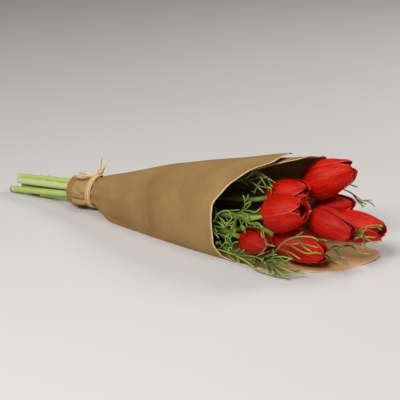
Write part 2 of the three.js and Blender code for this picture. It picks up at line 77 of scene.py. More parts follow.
# %% Signals
class Signal:
    """One output socket that takes part in Python arithmetic."""

    def __init__(self, finish, socket):
        self.finish, self.socket = finish, socket

    def maths(self, operation, *values):
        """A Math node that does one operation on the values."""
        return self.finish.node("Math", {"operation": operation}, dict(enumerate(values)))

    def __add__(self, other):
        return self.maths("ADD", self, other)

    def __sub__(self, other):
        return self.maths("SUBTRACT", self, other)

    def __rsub__(self, other):
        return self.maths("SUBTRACT", other, self)

    def __mul__(self, other):
        return self.maths("MULTIPLY", self, other)

    __radd__, __rmul__ = __add__, __mul__

    def step(self, low, high):
        """0 below low, 1 above high, smooth between them."""
        settings = {"interpolation_type": "SMOOTHSTEP"}
        return self.finish.node("MapRange", settings, {"Value": self, "From Min": low, "From Max": high})


print("a signal also has", [name for name in vars(Signal) if not name.startswith("_")])

# %% [markdown]
# `Finish` holds one material. Its `node` method makes any node, sets its settings first and then fills its
# sockets with numbers or links. The other methods name what the finishes here share: a base colour with
# coats over it, cloudy noise, and a relief that becomes a bump.


# %% Finishes
class Finish:
    """A procedural material: a Principled shader and the nodes that feed it."""

    def __init__(self, name, **sockets):
        self.material = bpy.data.materials.new(name)
        self.material.use_nodes = True
        self.tree = self.material.node_tree
        self.shader = self.tree.nodes["Principled BSDF"]
        self.feed(self.shader, {key.replace("_", " "): value for key, value in sockets.items()})

    def feed(self, node, sockets):
        """Links signals to a node's sockets and sets plain values on them."""
        for key, value in sockets.items():
            if isinstance(value, Signal):
                self.tree.links.new(value.socket, node.inputs[key])
            else:
                node.inputs[key].default_value = value

    def node(self, kind, settings=None, sockets=None, output=0):
        """Any node: settings first, then its sockets. Gives one of its outputs back."""
        made = self.tree.nodes.new("ShaderNode" + kind)
        for key, value in (settings or {}).items():
            setattr(made, key, value)
        self.feed(made, sockets or {})
        return Signal(self, made.outputs[output])

    def mix(self, factor, first, second):
        """The first colour where factor is 0 and the second where it is 1."""
        return self.node("Mix", {"data_type": "RGBA"}, {0: factor, 6: first, 7: second}, 2)

    def layers(self, base, *coats):
        """A base colour and coats over it, each a mask from 0 to 1 and a colour as on screen."""
        for mask, screen in coats:
            base = self.mix(mask, base, colour(*screen))
        return base

    def along(self, axis):
        """One coordinate on the grid: X runs across it from 0 to 1, and Y along it."""
        grid = self.node("TexCoord", None, None, "UV")
        return self.node("SeparateXYZ", None, {0: grid}, axis)

    def tone(self):
        """The number that a grid carries to tell its strands or faces apart, and where painted light and
        shade go.
        """
        return self.node("Attribute", {"attribute_name": "tone"}, None, "Fac")

    def noise(self, space, scale, detail, squeeze=(1, 1, 1)):
        """Cloudy noise from 0 to 1 in Object or UV space, squeezed where it is to run in streaks."""
        place = self.node("TexCoord", None, None, space)
        place = self.node("Mapping", None, {"Vector": place, "Scale": squeeze})
        return self.node("TexNoise", None, {"Vector": place, "Scale": scale, "Detail": detail})

    def coat(self, tint, roughness, relief, height, strength=1.0):
        """Feeds colour and roughness, and turns a relief into a bump of that height in metres."""
        bump = self.node("Bump", None, {"Height": relief, "Distance": height, "Strength": strength})
        self.feed(self.shader, {"Base Color": tint, "Roughness": roughness, "Normal": bump})


def colour(red, green, blue):
    """A colour written as on screen, from 0 to 255, as the linear light that shaders work in."""
    share = np.array([red, green, blue]) / 255
    light = np.where(share <= 0.04045, share / 12.92, ((share + 0.055) / 1.055) ** 2.4)
    return (*light, 1.0)


print("kraft brown in linear light:", np.round(colour(186, 148, 96), 3))

# %% [markdown]
# ## Grids into meshes
# Every surface here is a grid of points: rows along the piece, columns across it. A tube closes because
# its last column repeats the first, and its end rows shrink to one point. Merging the doubles then gives
# a closed skin, while the texture coordinates keep their seam. Sizes are millimetres from the tie, the
# point where the raffia holds the bunch, and become metres in the frame only when the mesh is made.

# %% Grids into meshes
TIE_X, MOUTH = -119, 244
MILLIMETRE = 0.001
MERGE_WITHIN = 1e-6


def patch(points, tone=0.5, across=None, along=None):
    """A grid of points with its texture coordinates and a tone, a number that tells strands apart."""
    rows, columns = points.shape[:2]
    along = np.linspace(0, 1, rows)[:, None] if along is None else along
    across = np.linspace(0, 1, columns)[None, :] if across is None else across
    full = np.ones((rows, columns))
    return points, np.stack([across * full, along * full], -1), tone * full


def piece(name, patches, finish, body, node, sharp=50):
    """Joins grids into one mesh in the frame, merges doubles, turns faces outwards and rides a body."""
    corners, start = [], 0
    for points, _, _ in patches:
        rows, columns = points.shape[:2]
        index = start + np.arange(rows * columns).reshape(rows, columns)
        ring = [index[:-1, :-1], index[:-1, 1:], index[1:, 1:], index[1:, :-1]]
        corners.append(np.stack(ring, -1).reshape(-1, 4))
        start += rows * columns
    place = np.concatenate([points.reshape(-1, 3) for points, _, _ in patches])
    uvs = np.concatenate([uv.reshape(-1, 2) for _, uv, _ in patches])
    tones = np.concatenate([tone.ravel() for _, _, tone in patches])
    faces = np.concatenate(corners)
    mesh = bpy.data.meshes.new(name)
    mesh.from_pydata((place + (TIE_X, 0, 0)) * MILLIMETRE, [], faces)
    mesh.uv_layers.new(name="UVMap").data.foreach_set("uv", uvs[faces.ravel()].ravel())
    mesh.attributes.new("tone", "FLOAT", "POINT").data.foreach_set("value", tones)
    shell = bmesh.new()
    shell.from_mesh(mesh)
    bmesh.ops.remove_doubles(shell, verts=shell.verts, dist=MERGE_WITHIN)
    bmesh.ops.recalc_face_normals(shell, faces=shell.faces)
    shell.to_mesh(mesh)
    shell.free()
    mesh.polygons.foreach_set("use_smooth", np.ones(len(mesh.polygons), bool))
    mesh.set_sharp_from_angle(angle=np.radians(sharp))
    mesh.materials.append(finish.material)
    made = bpy.data.objects.new(name, mesh)
    bpy.context.collection.objects.link(made)
    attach(made, body)
    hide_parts(node)
    return made


print("a grid of 3 by 4 points gives", len(patch(np.zeros((3, 4, 3)))), "arrays")

# %% [markdown]
# ## Soft steps
# Folds, rims and ruffles start and stop softly. Three small formulas do that on whole arrays at once.


# %% Soft steps
def smooth(x, low, high):
    """0 below low, 1 above high, with a soft S between."""
    t = np.clip((x - low) / (high - low), 0, 1)
    return t * t * (3 - 2 * t)


def plateau(x, start, full, fading, end):
    """0 before start, 1 from full to fading and 0 past end, with a soft S on both sides."""
    return smooth(x, start, full) * smooth(x, end, fading)


def bell(x, middle, width):
    """1 in the middle, falling away on both sides as a bell curve of that half width."""
    return np.exp(-(((x - middle) / width) ** 2))


print("a soft step at 0, 1/4, 1/2, 3/4 and 1:", smooth(np.linspace(0, 1, 5), 0, 1))

# %% [markdown]
# ## Lines, tubes and turned shapes
# Stems, strands and twigs are tubes round a curved line. The line goes through a few chosen points, gets
# evenly spaced points, and carries two directions across it that don't twist. Blender's own curves with a
# bevel could do this too, but points in numpy can also be pushed away from a flower.


# %% Lines
def curve(points, steps=24):
    """A centripetal Catmull-Rom line: each stretch is a cubic whose end slopes weigh its neighbours."""
    p = np.array(points, float)
    p = np.concatenate([[2 * p[0] - p[1]], p, [2 * p[-1] - p[-2]]])
    gap = np.sqrt(np.linalg.norm(np.diff(p, axis=0), axis=1))[:, None]
    before, here, after = gap[:-2], gap[1:-1], gap[2:]
    x0, x1, x2, x3 = p[:-3], p[1:-2], p[2:-1], p[3:]
    out = here * ((x1 - x0) / before - (x2 - x0) / (before + here) + (x2 - x1) / here)
    back = here * ((x2 - x1) / here - (x3 - x1) / (here + after) + (x3 - x2) / after)
    t = np.linspace(0, 1, steps, endpoint=False)[None, :, None]
    x1, x2, out, back = (a[:, None] for a in (x1, x2, out, back))
    cubic = x1 + out * t + (3 * (x2 - x1) - 2 * out - back) * t**2 + (2 * (x1 - x2) + out + back) * t**3
    return np.concatenate([cubic.reshape(-1, 3), p[[-2]]])


def lengths(line):
    """How far along a line each of its points is: the sum of the steps before it."""
    return np.concatenate([[0], np.cumsum(np.linalg.norm(np.diff(line, axis=0), axis=1))])


def spaced(line, count):
    """The same line through count points at equal steps of its length."""
    gone = lengths(line)
    at = np.linspace(0, gone[-1], count)
    return np.stack([np.interp(at, gone, line[:, k]) for k in range(3)], -1)


def frames(line):
    """Directions along a line, and two across it that don't twist."""
    way = np.gradient(line, axis=0)
    way /= np.linalg.norm(way, axis=1, keepdims=True)
    aside = np.eye(3)[np.argmin(np.abs(way).mean(0))]
    over = np.cross(aside, way)
    over /= np.linalg.norm(over, axis=1, keepdims=True)
    return way, over, np.cross(way, over)


print("length of an arch through three points:", lengths(curve([[-1, 0, 0], [0, 1, 0], [1, 0, 0]]))[-1])

# %% [markdown]
# A tube is a ring of points at each place on its line, flattened and rolled where a strand is a flat leaf.
# Petals, hubs and hearts are profiles turned about an axis instead.


# %% Tubes and turned shapes
def rings(line, radius, sides, flat=1.0, roll=0.0):
    """Rows of points round a line: an ellipse of that radius, flattened and rolled by an angle."""
    _, over, out = frames(line)
    turn = np.linspace(0, 2 * np.pi, sides + 1)[None, :, None]
    roll = np.broadcast_to(roll, len(line))[:, None]
    wide = over * np.cos(roll) + out * np.sin(roll)
    thin = (out * np.cos(roll) - over * np.sin(roll)) * flat
    radius = np.asarray(radius, float)
    radius = radius if radius.ndim == 2 else np.broadcast_to(radius, len(line))[:, None]
    return line[:, None] + radius[..., None] * (np.cos(turn) * wide[:, None] + np.sin(turn) * thin[:, None])


def closed(rows):
    """Rows with each end drawn in to its middle point, so that the skin has no hole."""
    first = np.broadcast_to(rows[:1, :-1].mean(1, keepdims=True), rows[:1].shape)
    last = np.broadcast_to(rows[-1:, :-1].mean(1, keepdims=True), rows[:1].shape)
    return np.concatenate([first, rows, last])


def turned(radius, angle, height):
    """Points at a radius and an angle about the upright axis, at a height."""
    radius, angle, height = np.broadcast_arrays(radius, angle, height)
    return np.stack([radius * np.cos(angle), radius * np.sin(angle), height], -1)


print("one ring of a tube with six sides has", rings(np.eye(3), 1, 6).shape[1], "points")

# %% [markdown]
# ## Kraft paper
# The wrapper is one sheet rolled into a cone. It starts inside, near the top, goes round under the flowers
# and ends outside, past the top, so two layers show there with a dark gap between. It lies flat on the
# table, reaches further forward below than above, and is gathered into pleats by the tie. A simulated
# cloth could be rolled up, but paper is stiff and this sheet has to match the packed solid, so it is a
# function of two numbers: x, the distance from the tie in millimetres, and the turn of the roll in degrees
# from the top, by the far side, under the flowers and up the near side.

# %% Kraft paper: sizes
LEAN = np.radians(6.5)
NECK_RADIUS, TIE_HEIGHT, TIE_HALF_WIDTH = 16.95, 23.95, 5.0
PAPER_THICKNESS, LAYER_GAP, RIM_FLARE = 0.6, 1.3, 4.0
COLLAR_LENGTH, COLLAR_BULGE, COLLAR_CREST, SHOULDER = 34, 1.8, 0.7, 45
PLEATS, PLEAT_DEPTH, COLLAR_PLEAT = 9, 1.0, 0.3
FAR_SIDE_WIDER, BELLY_SQUASH, BELLY_POWER = 1.24, 1.28, 0.6
CONE_AT = [TIE_HALF_WIDTH, 14, SHOULDER, *(MOUTH + np.array([-140, -100, -50, 0, 50, 110]))]
CONE_HALF_WIDTH = [NECK_RADIUS, 22, 31, 43, 50, 56, 60, 64, 68]
CONE_TOP = [TIE_HEIGHT + NECK_RADIUS, 45, 54, 75, 85.5, 97.5, 111, 123, 137]
RIM_TURN = [-22, -10, 1, 14, 45, 64, 90, 110, 128, 140, 158, 170, 180, 186, 203, 222, 226, 230,
            252, 285, 306, 323, 334, 342, 358, 368, 388]
RIM_PAST_MOUTH = [-16, 8, 32, 34, 33, 33, 35, 50, 72, 92, 110, 105, 96, 78, 52, 31, 17, -32,
                  -43, -45, -34, -21, -10, 7, 13, 12, 2]
RIM_REACH = MOUTH + np.array(RIM_PAST_MOUTH)
LAP_END, LAP_FADE = 30, 46
CORNER_TURN, CORNER_SPREAD, CORNER_LIFT = 152, 12, 5.0
RIM_EASE, WIDTH_EASE, RIM_WAVE = 4, 12, 0.5
print("the rim reaches", RIM_REACH.min(), "to", RIM_REACH.max(), "mm from the tie")

# %% [markdown]
# A sheet that has been handled is never smooth. Soft folds fan out from the neck, and a worn crease
# crosses the near side. Each is a height in millimetres at a distance and a turn, so folds simply add up.

# %% Kraft paper: folds
CREASE_AT, CREASE_BEND, CREASE_TURN, CREASE_FADE, CREASE_DEPTH = 104, 12, 285, 14, 1.2
CREASE_SPREAD, CREASE_SOFT = (62, 25), 2
FAN_HEIGHT, FAN_FADE, CRUMPLE_HEIGHT = 0.7, 60, 0.25
FAN_WAVES = [(5, 0.8, 1.0), (8, 2.1, 0.7), (13, 0.0, 0.5)]  # waves round the roll, phase, share


def eased(at, values, x, width):
    """Straight stretches between table values, with their corners rounded over that width."""
    return np.mean([np.interp(x + width * k, at, values) for k in np.linspace(-1, 1, 9)], axis=0)


def crease(x, turn):
    """A fold line across the near side: 0 before it, 1 just past it, dying away further on."""
    past = x - CREASE_AT + CREASE_BEND * np.cos(np.radians(turn))
    near_side = smooth(np.abs(turn - CREASE_TURN), *CREASE_SPREAD)
    fade = np.exp(-np.clip(past, 0, None) / CREASE_FADE)
    return smooth(past, -CREASE_SOFT, CREASE_SOFT) * fade * near_side


def folds(x, turn):
    """Soft folds: waves round the roll that fade from the neck, less the crease, and a faint crumple."""
    angle = np.radians(turn)
    fan = np.exp(-np.clip(x - SHOULDER, 0, None) / FAN_FADE) * smooth(x, TIE_HALF_WIDTH, SHOULDER)
    waves = sum(share * np.sin(count * angle + phase) for count, phase, share in FAN_WAVES)
    crumple = np.sin(x / 17 + 3 * angle) * np.sin(x / 29 - 5 * angle + 1.3)
    rough = CRUMPLE_HEIGHT * crumple * smooth(x, SHOULDER, 2 * SHOULDER)
    return FAN_HEIGHT * fan * waves - CREASE_DEPTH * crease(x, turn) + rough


print("height of the folds at the shoulder:", np.round(folds(SHOULDER, np.array([0, 90, 180, 270])), 2))

# %% [markdown]
# Behind the tie the collar has been pressed into a flat facet, a flap and a few grooves, and the lip on
# the table has low wrinkles. They are heights too, each kept to its own stretch by soft steps.

# %% Kraft paper: collar and lip
FACET_HEIGHT, FACET_ALONG, FACET_TURNS = 2.0, (-27, -23, -6, 2), (214, 226, 312, 338)
FLAP_HEIGHT, FLAP_ALONG, FLAP_TURNS = 1.0, (-28, -21, -3, 3), (214, 230, 245, 249)
# a seam, a dent, a ridge and a notch: height, first and last place (distance, turn), half width
COLLAR_LINES = [
    (-3.6, (-22, 253), (-3, 246), 1.4),
    (-2.2, (-18, 290), (-7, 270), 1.5),
    (1.1, (-14, 299), (-4, 280), 1.8),
    (-2.0, (-8, 229), (-2, 227), 1.6),
]
LINE_LEAD, LINE_BITE = 3, 1
PINCH_DEPTH, PINCH_AT, PINCH_WIDTH = 1.3, 6.5, 2.0
WRINKLE_HEIGHT, WRINKLE_FROM, WRINKLE_FULL = 1.6, MOUTH + 8, MOUTH + 45
LIP_TURN, LIP_SPREAD = 170, 40


def groove(x, turn, start, end, width):
    """A line across the collar between two places (distance, turn): 1 on the line, 0 beside it."""
    share = np.clip((x - start[0]) / (end[0] - start[0]), 0, 1)
    line = start[1] + (end[1] - start[1]) * share
    ends = plateau(x, start[0] - LINE_LEAD, start[0] + LINE_BITE, end[0] - LINE_BITE, end[0] + LINE_LEAD)
    return bell(NECK_RADIUS * np.radians(turn - line), 0, width) * ends


def facet(x, turn):
    """1 on the stretch of collar that is pressed out flat on the near side, 0 on its rim and far side."""
    return plateau(turn, *FACET_TURNS) * plateau(x, *FACET_ALONG)


def cuff(x, turn):
    """The collar's own folds: the facet, a flap below it and the lines, less a pinch before the tie."""
    flap = FLAP_HEIGHT * plateau(x, *FLAP_ALONG) * plateau(turn, *FLAP_TURNS)
    lines = sum(height * groove(x, turn, *line) for height, *line in COLLAR_LINES)
    return FACET_HEIGHT * facet(x, turn) + flap + lines - PINCH_DEPTH * bell(x, PINCH_AT, PINCH_WIDTH)


def wrinkles(x, turn):
    """Low slanting ridges on the lip that lies on the table: narrow crests of two crossing waves."""
    lip = smooth(x, WRINKLE_FROM, WRINKLE_FULL) * bell(turn, LIP_TURN, LIP_SPREAD)
    slant = np.sin(turn / 3.6 + x / 13) * np.sin(turn / 9 - x / 21 + 0.7)
    return WRINKLE_HEIGHT * lip * np.clip(slant, 0, None) ** 1.5


print("height of the collar's folds on the near side:", np.round(cuff(np.array([-20, -10, 0]), 270), 2))

# %% [markdown]
# Across the roll the sheet is an ellipse whose lower half is squashed flat, and the tie draws it in to a
# round neck. Each point is made twice, on the outer and the inner face, and the grid runs round both, so
# the paper has a real edge. Solidify could add the second face, but here that face has tones of its own:
# the tone sets apart the raw edge, painted light that makes the lip's inner face and the pressed facet
# paler, and painted shade along the crease.

# %% Kraft paper: the sheet
BULGE_FLATTENED, BULGE_FLAT_TOP = 1.4, (0.2, 0.85)
ROUND_COLUMNS, NECK_ROWS, CONE_ROWS = 261, 64, 60
# painted light: its tone, the facet's share of it, and where the lip's inner face starts and ends paling
PAINTED_LIGHT_TONE, FACET_PAINTED_LIGHT, PAINTED_LIGHT_FROM, PAINTED_LIGHT_FULL = 0.3, 0.35, MOUTH + 5, MOUTH + 45


def paper(x, turn, inset):
    """The sheet at a distance from the tie and a turn: an ellipse whose lower half is squashed flat."""
    angle = np.radians(turn)
    s, c = np.sin(angle), np.cos(angle)
    reach = eased(RIM_TURN, RIM_REACH, turn, RIM_EASE)
    rim = smooth(x, SHOULDER, reach)
    collar = np.clip((-x - TIE_HALF_WIDTH) / (COLLAR_LENGTH - TIE_HALF_WIDTH), 0, 1)
    neck = 1 - smooth(x, TIE_HALF_WIDTH, SHOULDER)
    pleat = PLEAT_DEPTH * neck * (1 - (1 - COLLAR_PLEAT) * collar) * np.cos(PLEATS * angle)
    lap = (1 - smooth(turn, LAP_END, LAP_FADE)) * (LAYER_GAP + RIM_FLARE * rim)
    bulge = COLLAR_BULGE * np.sin(np.pi * collar**COLLAR_CREST)
    bulge = bulge * (1 - BULGE_FLATTENED * smooth(c, *BULGE_FLAT_TOP))
    push = bulge + pleat - lap - inset + folds(x, turn) + cuff(x, turn)
    axis = TIE_HEIGHT + x * np.tan(LEAN)
    half_width = eased(CONE_AT, CONE_HALF_WIDTH, x, WIDTH_EASE)
    top = np.where(x < TIE_HALF_WIDTH, axis + NECK_RADIUS, eased(CONE_AT, CONE_TOP, x, RIM_EASE))
    middle = top / 2 + (axis - top / 2) * neck
    below = middle * BELLY_SQUASH + (half_width - middle * BELLY_SQUASH) * neck
    power = np.where(c < 0, BELLY_POWER + (1 - BELLY_POWER) * neck, 1)
    wider = np.where(s > 0, FAR_SIDE_WIDER + (1 - FAR_SIDE_WIDER) * neck, 1)
    y = (half_width * wider + push) * np.sign(s) * np.abs(s) ** power
    z = middle + (np.where(c < 0, below, top - middle) + push) * np.sign(c) * np.abs(c) ** power
    corner = CORNER_LIFT * smooth(x, reach - 22, reach + 4) * bell(turn, CORNER_TURN, CORNER_SPREAD)
    return np.stack([x + 0 * y, y, np.maximum(z, inset) + corner + wrinkles(x, turn)], -1)


def edge(row):
    """The line half-way between the two faces of a row, laid out like the row itself."""
    columns = row.shape[1] // 2
    middle = (row[:, :columns] + row[:, columns : 2 * columns][:, ::-1]) / 2
    return np.concatenate([middle, middle[:, ::-1], middle[:, :1]], 1)


turns = np.linspace(RIM_TURN[0], RIM_TURN[-1], ROUND_COLUMNS)[None, :]
rim_reach = eased(RIM_TURN, RIM_REACH, turns, RIM_EASE) + RIM_WAVE * np.sin(np.radians(turns) * 17)
neck_stops = np.linspace(-COLLAR_LENGTH, SHOULDER, NECK_ROWS)[:, None] + 0 * turns
share = np.linspace(0, 1, CONE_ROWS + 1)[1:, None]
distance = np.concatenate([neck_stops, SHOULDER + (rim_reach - SHOULDER) * share])
faces_of_sheet = [paper(distance, turns, 0), paper(distance, turns, PAPER_THICKNESS)[:, ::-1]]
sheet = np.concatenate([*faces_of_sheet, faces_of_sheet[0][:, :1]], 1)
sheet = np.concatenate([edge(sheet[:1]), sheet, edge(sheet[-1:])])
round_uv = np.concatenate([turns[0], turns[0, ::-1], turns[0, :1]])[None, :] / 360
along_uv = np.concatenate([distance[:1], distance, distance[-1:]]) / 360
along_uv = np.concatenate([along_uv, along_uv[:, ::-1], along_uv[:, :1]], 1)
edge_and_painted_light_marks = np.zeros(sheet.shape[:2])
# painted light on the pressed facet, less painted shade along the crease
outer_painted_light = FACET_PAINTED_LIGHT * facet(distance, turns) - crease(distance, turns)
edge_and_painted_light_marks[1:-1, :ROUND_COLUMNS] = PAINTED_LIGHT_TONE * outer_painted_light
# painted light: the inner face made paler towards the lip
edge_and_painted_light_marks[1:-1, ROUND_COLUMNS:-1] = PAINTED_LIGHT_TONE * smooth(distance, PAINTED_LIGHT_FROM, PAINTED_LIGHT_FULL)[:, ::-1]
edge_and_painted_light_marks[-2:] = 1
print("paper rows and columns:", sheet.shape[:2])

# %% [markdown]
# Kraft paper is matt and warm brown. It has fine ribs across the roll, a few darker fibres and a slow
# cloudy change of tone. Painted light makes the inner face paler near the lip and the pressed facet paler,
# the raw edge is paler still, and painted shade darkens the crease. The ribs and fibres follow the sheet,
# so they use its texture coordinates, and the clouds use the object's own space.

# %% Kraft paper: the finish
kraft = Finish("kraft_paper", Roughness=0.82, Specular_IOR_Level=0.25)
clouds = kraft.noise("Object", 22, 5)
fibres = kraft.noise("UV", 9, 6, (60, 14, 1))
ribs = kraft.noise("UV", 1.0, 2, (4, 260, 1))
speck = kraft.noise("Object", 900, 2)
edge_and_painted_light = kraft.tone()
brown = kraft.layers(
    kraft.mix(clouds.step(0.3, 0.7), colour(152, 117, 70), colour(170, 135, 85)),
    (fibres.step(0.56, 0.72) * 0.45, (122, 88, 50)),
    (speck.step(0.62, 0.75) * 0.35, (196, 164, 116)),
    (ribs.step(0.35, 0.7) * 0.16, (134, 100, 58)),
    # painted light: the lip's inner face and the pressed facet made paler
    (edge_and_painted_light.step(0.0, PAINTED_LIGHT_TONE) * 0.9, (222, 182, 128)),
    (edge_and_painted_light.step(0.4, 0.9) * 0.8, (226, 200, 156)),
    # painted shade: darker just past the crease
    (edge_and_painted_light.step(0.0, -PAINTED_LIGHT_TONE) * 0.24, (122, 88, 50)),
)
kraft.coat(brown, 0.74 + fibres * 0.2, ribs * 0.6 + fibres * 0.5 + clouds * 0.6, 0.00035, 0.7)
paper_grid = patch(sheet, edge_and_painted_light_marks, round_uv, along_uv)
kraft_paper = piece("kraft_paper", [paper_grid], kraft, "wrap", "kraft_wrapper", 60)
paper_area = sum(p.area for p in kraft_paper.data.polygons) / 2
print("paper area, one side:", round(paper_area, 4), "m2")

# %% [markdown]
# ## Raffia
# Raffia is dry palm leaf, split into flat strands that curl and fray. The tie is one winding of three
# turns. One round cord would look too neat, so the winding is drawn as a bundle of four flat strands that
# follow the same unbroken spiral and wander a little inside it.

# %% Raffia: the winding
WINDING_RADIUS, WINDING_LOOPS, WINDING_PITCH = 19.15, 3, 2.5
KNOT_ANGLE, KNOT_ALONG, KNOT_LIFT = np.radians(15), 4.0, 23.15
draw = np.random.default_rng(12)
ALONG = np.array([np.cos(LEAN), 0, np.sin(LEAN)])
RISE = np.array([-np.sin(LEAN), 0, np.cos(LEAN)])


def from_tie(along, degrees, radius):
    """A place in the tie: along the leaning axis, then out from it at an angle from the top."""
    angle = np.radians(degrees)
    out = radius * np.array([0, np.sin(angle), 0]) + radius * np.cos(angle) * RISE
    return np.array([0, 0, TIE_HEIGHT]) + along * ALONG + out


def strand(line, radius, flat=0.4, tips=(0.7, 0.25), sides=7, rolls=0.6, pale=0.0):
    """A flat strand along a line, thinner to its tips, slowly rolling, in its own tone."""
    t = np.linspace(0, 1, len(line))
    width = radius * np.interp(t, [0, 0.15, 0.6, 1], [tips[0], 1, 0.9, tips[1]])
    roll = rolls * np.sin(2 * np.pi * t * draw.uniform(0.5, 1.5) + draw.uniform(0, 6))
    return patch(closed(rings(line, width, sides, flat, roll)), draw.uniform(pale, 1))


def winding(offset_x, offset_out, wobble):
    """A spiral round the neck: three turns that climb along it, with a small wander."""
    t = np.linspace(0, WINDING_LOOPS, 145)
    turn = KNOT_ANGLE + 2 * np.pi * t
    x = WINDING_PITCH * (t - WINDING_LOOPS / 2) + offset_x + wobble * np.sin(turn * 1.7 + offset_x * 9)
    out = WINDING_RADIUS + offset_out + 0.12 * np.sin(turn * 2.3 + offset_x * 5)
    return np.stack([x, out * np.sin(turn), TIE_HEIGHT + x * np.tan(LEAN) + out * np.cos(turn)], -1)


BUNDLE = [(-1.1, 0.1), (-0.4, 0.35), (0.35, 0.05), (1.0, 0.3)]
turns_of_raffia = [strand(winding(x, out, 0.3), 1.0, 0.35, (1, 1), 8, 0.25) for x, out in BUNDLE]
print("strands in the winding:", len(turns_of_raffia))

# %% [markdown]
# Dry leaf is straw coloured, no two strands alike, with a darker grain that runs along it. The tone of a
# strand sets its place between two straws, and the grain follows the texture coordinates.

# %% Raffia: the finish
raffia = Finish("raffia", Roughness=0.6, Specular_IOR_Level=0.3)
grain = raffia.noise("UV", 4, 4, (30, 3, 1))
straw = raffia.mix(raffia.tone(), colour(216, 178, 118), colour(250, 232, 190))
straw = raffia.layers(straw, (grain.step(0.45, 0.75) * 0.35, (196, 156, 100)))
raffia.coat(straw, 0.5 + grain * 0.25, grain, 0.0002)
piece("raffia_winding", turns_of_raffia, raffia, "wrap", "raffia_binding")
print("raffia finish:", raffia.material.name)

# %% [markdown]
# The knot is a handful of short loops. Two of its ends stand up and one bends over, and two lie back
# along the collar. There the leaf has frayed to a fringe of fine strands and short spikes.

# %% Raffia: knot and loose ends
KNOT_TAILS = [
    [[0, 0, 0], [-1, 0.5, 8], [0, 2, 16]],
    [[0, 0, 0], [3.5, 5, 8], [7.6, 11.5, 16]],
    [[0, 0, 0], [2.5, 3, 3], [6, 7, 8.5]],
    [[0, 0, -1], [-8, -2, -4.5], [-16, -4, -6.5], [-29, -6, -8]],
    [[0, 0, -1], [-9, 0, -4.8], [-18, -1, -6], [-28, -1, -7.5]],
]
TAIL_STRANDS, TAIL_WIDTHS, TAIL_SPREAD = [4, 2, 2, 4, 4], [1.6, 0.8, 0.9, 0.9, 0.9], 0.8
FRINGE, SPIKES, LOOPS, COLLAR_TOP = 34, 30, 12, 16.2
LOOP_WIDTH, LOOP_HEIGHT, LOOP_TILT = 2.9, 2.5, 0.7
knot = from_tie(KNOT_ALONG, np.degrees(KNOT_ANGLE), KNOT_LIFT)


def tail_line(tail):
    """A loose end through its points, which stray more the further they are from the knot."""
    reach = np.linspace(0, 1, len(tail))[:, None]
    spread = draw.normal(0, TAIL_SPREAD, (len(tail), 3)) * (0.1 + reach)
    return spaced(curve(np.array(tail) + spread + knot), 26)


def fringe_line():
    """A frayed strand from the knot back over the collar, to a drawn side, lying or standing up."""
    high, side = draw.uniform(0, 1) ** 1.6, draw.uniform(-26, 16)
    stops = [(3, 13, 4.5), (-5, 4 + 0.5 * side, 1.2 + 1.2 * high), (-15, side, 0.8 + 3.4 * high)]
    stops.append((draw.uniform(-32, -20), side + draw.uniform(-6, 6), 0.5 + 5.0 * high))
    route = np.array([from_tie(along, turn, COLLAR_TOP + out) for along, turn, out in stops])
    return spaced(curve(route + draw.normal(0, 0.35, (4, 3))), 26)


def spike_line():
    """A short straight strand that stands on the collar and leans a drawn way."""
    along, turn = draw.uniform(-28, -8), draw.uniform(-20, 16)
    root, tip = from_tie(along, turn, COLLAR_TOP + 0.5), from_tie(along - 2, turn, COLLAR_TOP + 4)
    return root + (tip - root + draw.normal(0, 1.6, 3)) * np.linspace(0, 1, 8)[:, None]


def knot_loop(wide):
    """One loop of the knot: a tilted ellipse, full size or half of it, at a drawn place."""
    tilt = draw.uniform(-LOOP_TILT, LOOP_TILT)
    t = np.linspace(0, 2 * np.pi, 31)
    along = 2.2 * np.sin(tilt) * np.cos(t) + draw.uniform(-2.0, 2.0) + 0.3 * np.sin(2 * t)
    return knot + np.stack([along, LOOP_WIDTH * wide * np.cos(t), LOOP_HEIGHT * wide * np.sin(t) + 0.2], -1)


knot_parts = []
for tail, count, wide in zip(KNOT_TAILS, TAIL_STRANDS, TAIL_WIDTHS):
    knot_parts += [strand(tail_line(tail), wide, 0.35, pale=0.85) for _ in range(count)]
knot_parts += [strand(fringe_line(), draw.uniform(0.6, 1.1), 0.35) for _ in range(FRINGE)]
knot_parts += [strand(spike_line(), 0.8, 0.4) for _ in range(SPIKES)]
knot_parts += [strand(knot_loop(1.0 if k % 2 else 0.5), 1.0, 0.4, (1, 1)) for k in range(LOOPS)]
piece("raffia_knot_and_ends", knot_parts, raffia, "wrap", "raffia_knot")
print("strands in the knot and its ends:", len(knot_parts))

# %% [markdown]
# ## Stems
# Each stem is a soft plastic tube over a steel wire. Behind the tie the stems lie straight, one in the
# middle and seven round it, and in front they bend to their heads. The places of the heads come from the
# frame's hinges, so a stem always ends where its flower turns.

# %% Stems: routes
RING_SLOTS, FIRST_SLOT = 7, 37.8
STEM_TAIL, STEM_NECK, STEM_TOP, STEM_BORE = 3.8, 3.7, 2.7, 1.7
STEM_LEAD, STEM_NOD, STEM_FLARE, FLANGE, PEG, PEG_LENGTH, CHAMFER = 30, 18, 5, 5, 1.9, 9.2, 0.4
STEM_GAP, NECK_SLACK, TAIL_SLACK = 0.3, 0.3, 0.43
SLOT_SINE = np.sin(np.pi / RING_SLOTS)
NECK_RING, TAIL_RING = (STEM_NECK + NECK_SLACK) / SLOT_SINE, (STEM_TAIL + TAIL_SLACK) / SLOT_SINE
CLOSING_FROM, TAIL_CLOSING, BELOW_MIDDLE = 4, 3.3, 3
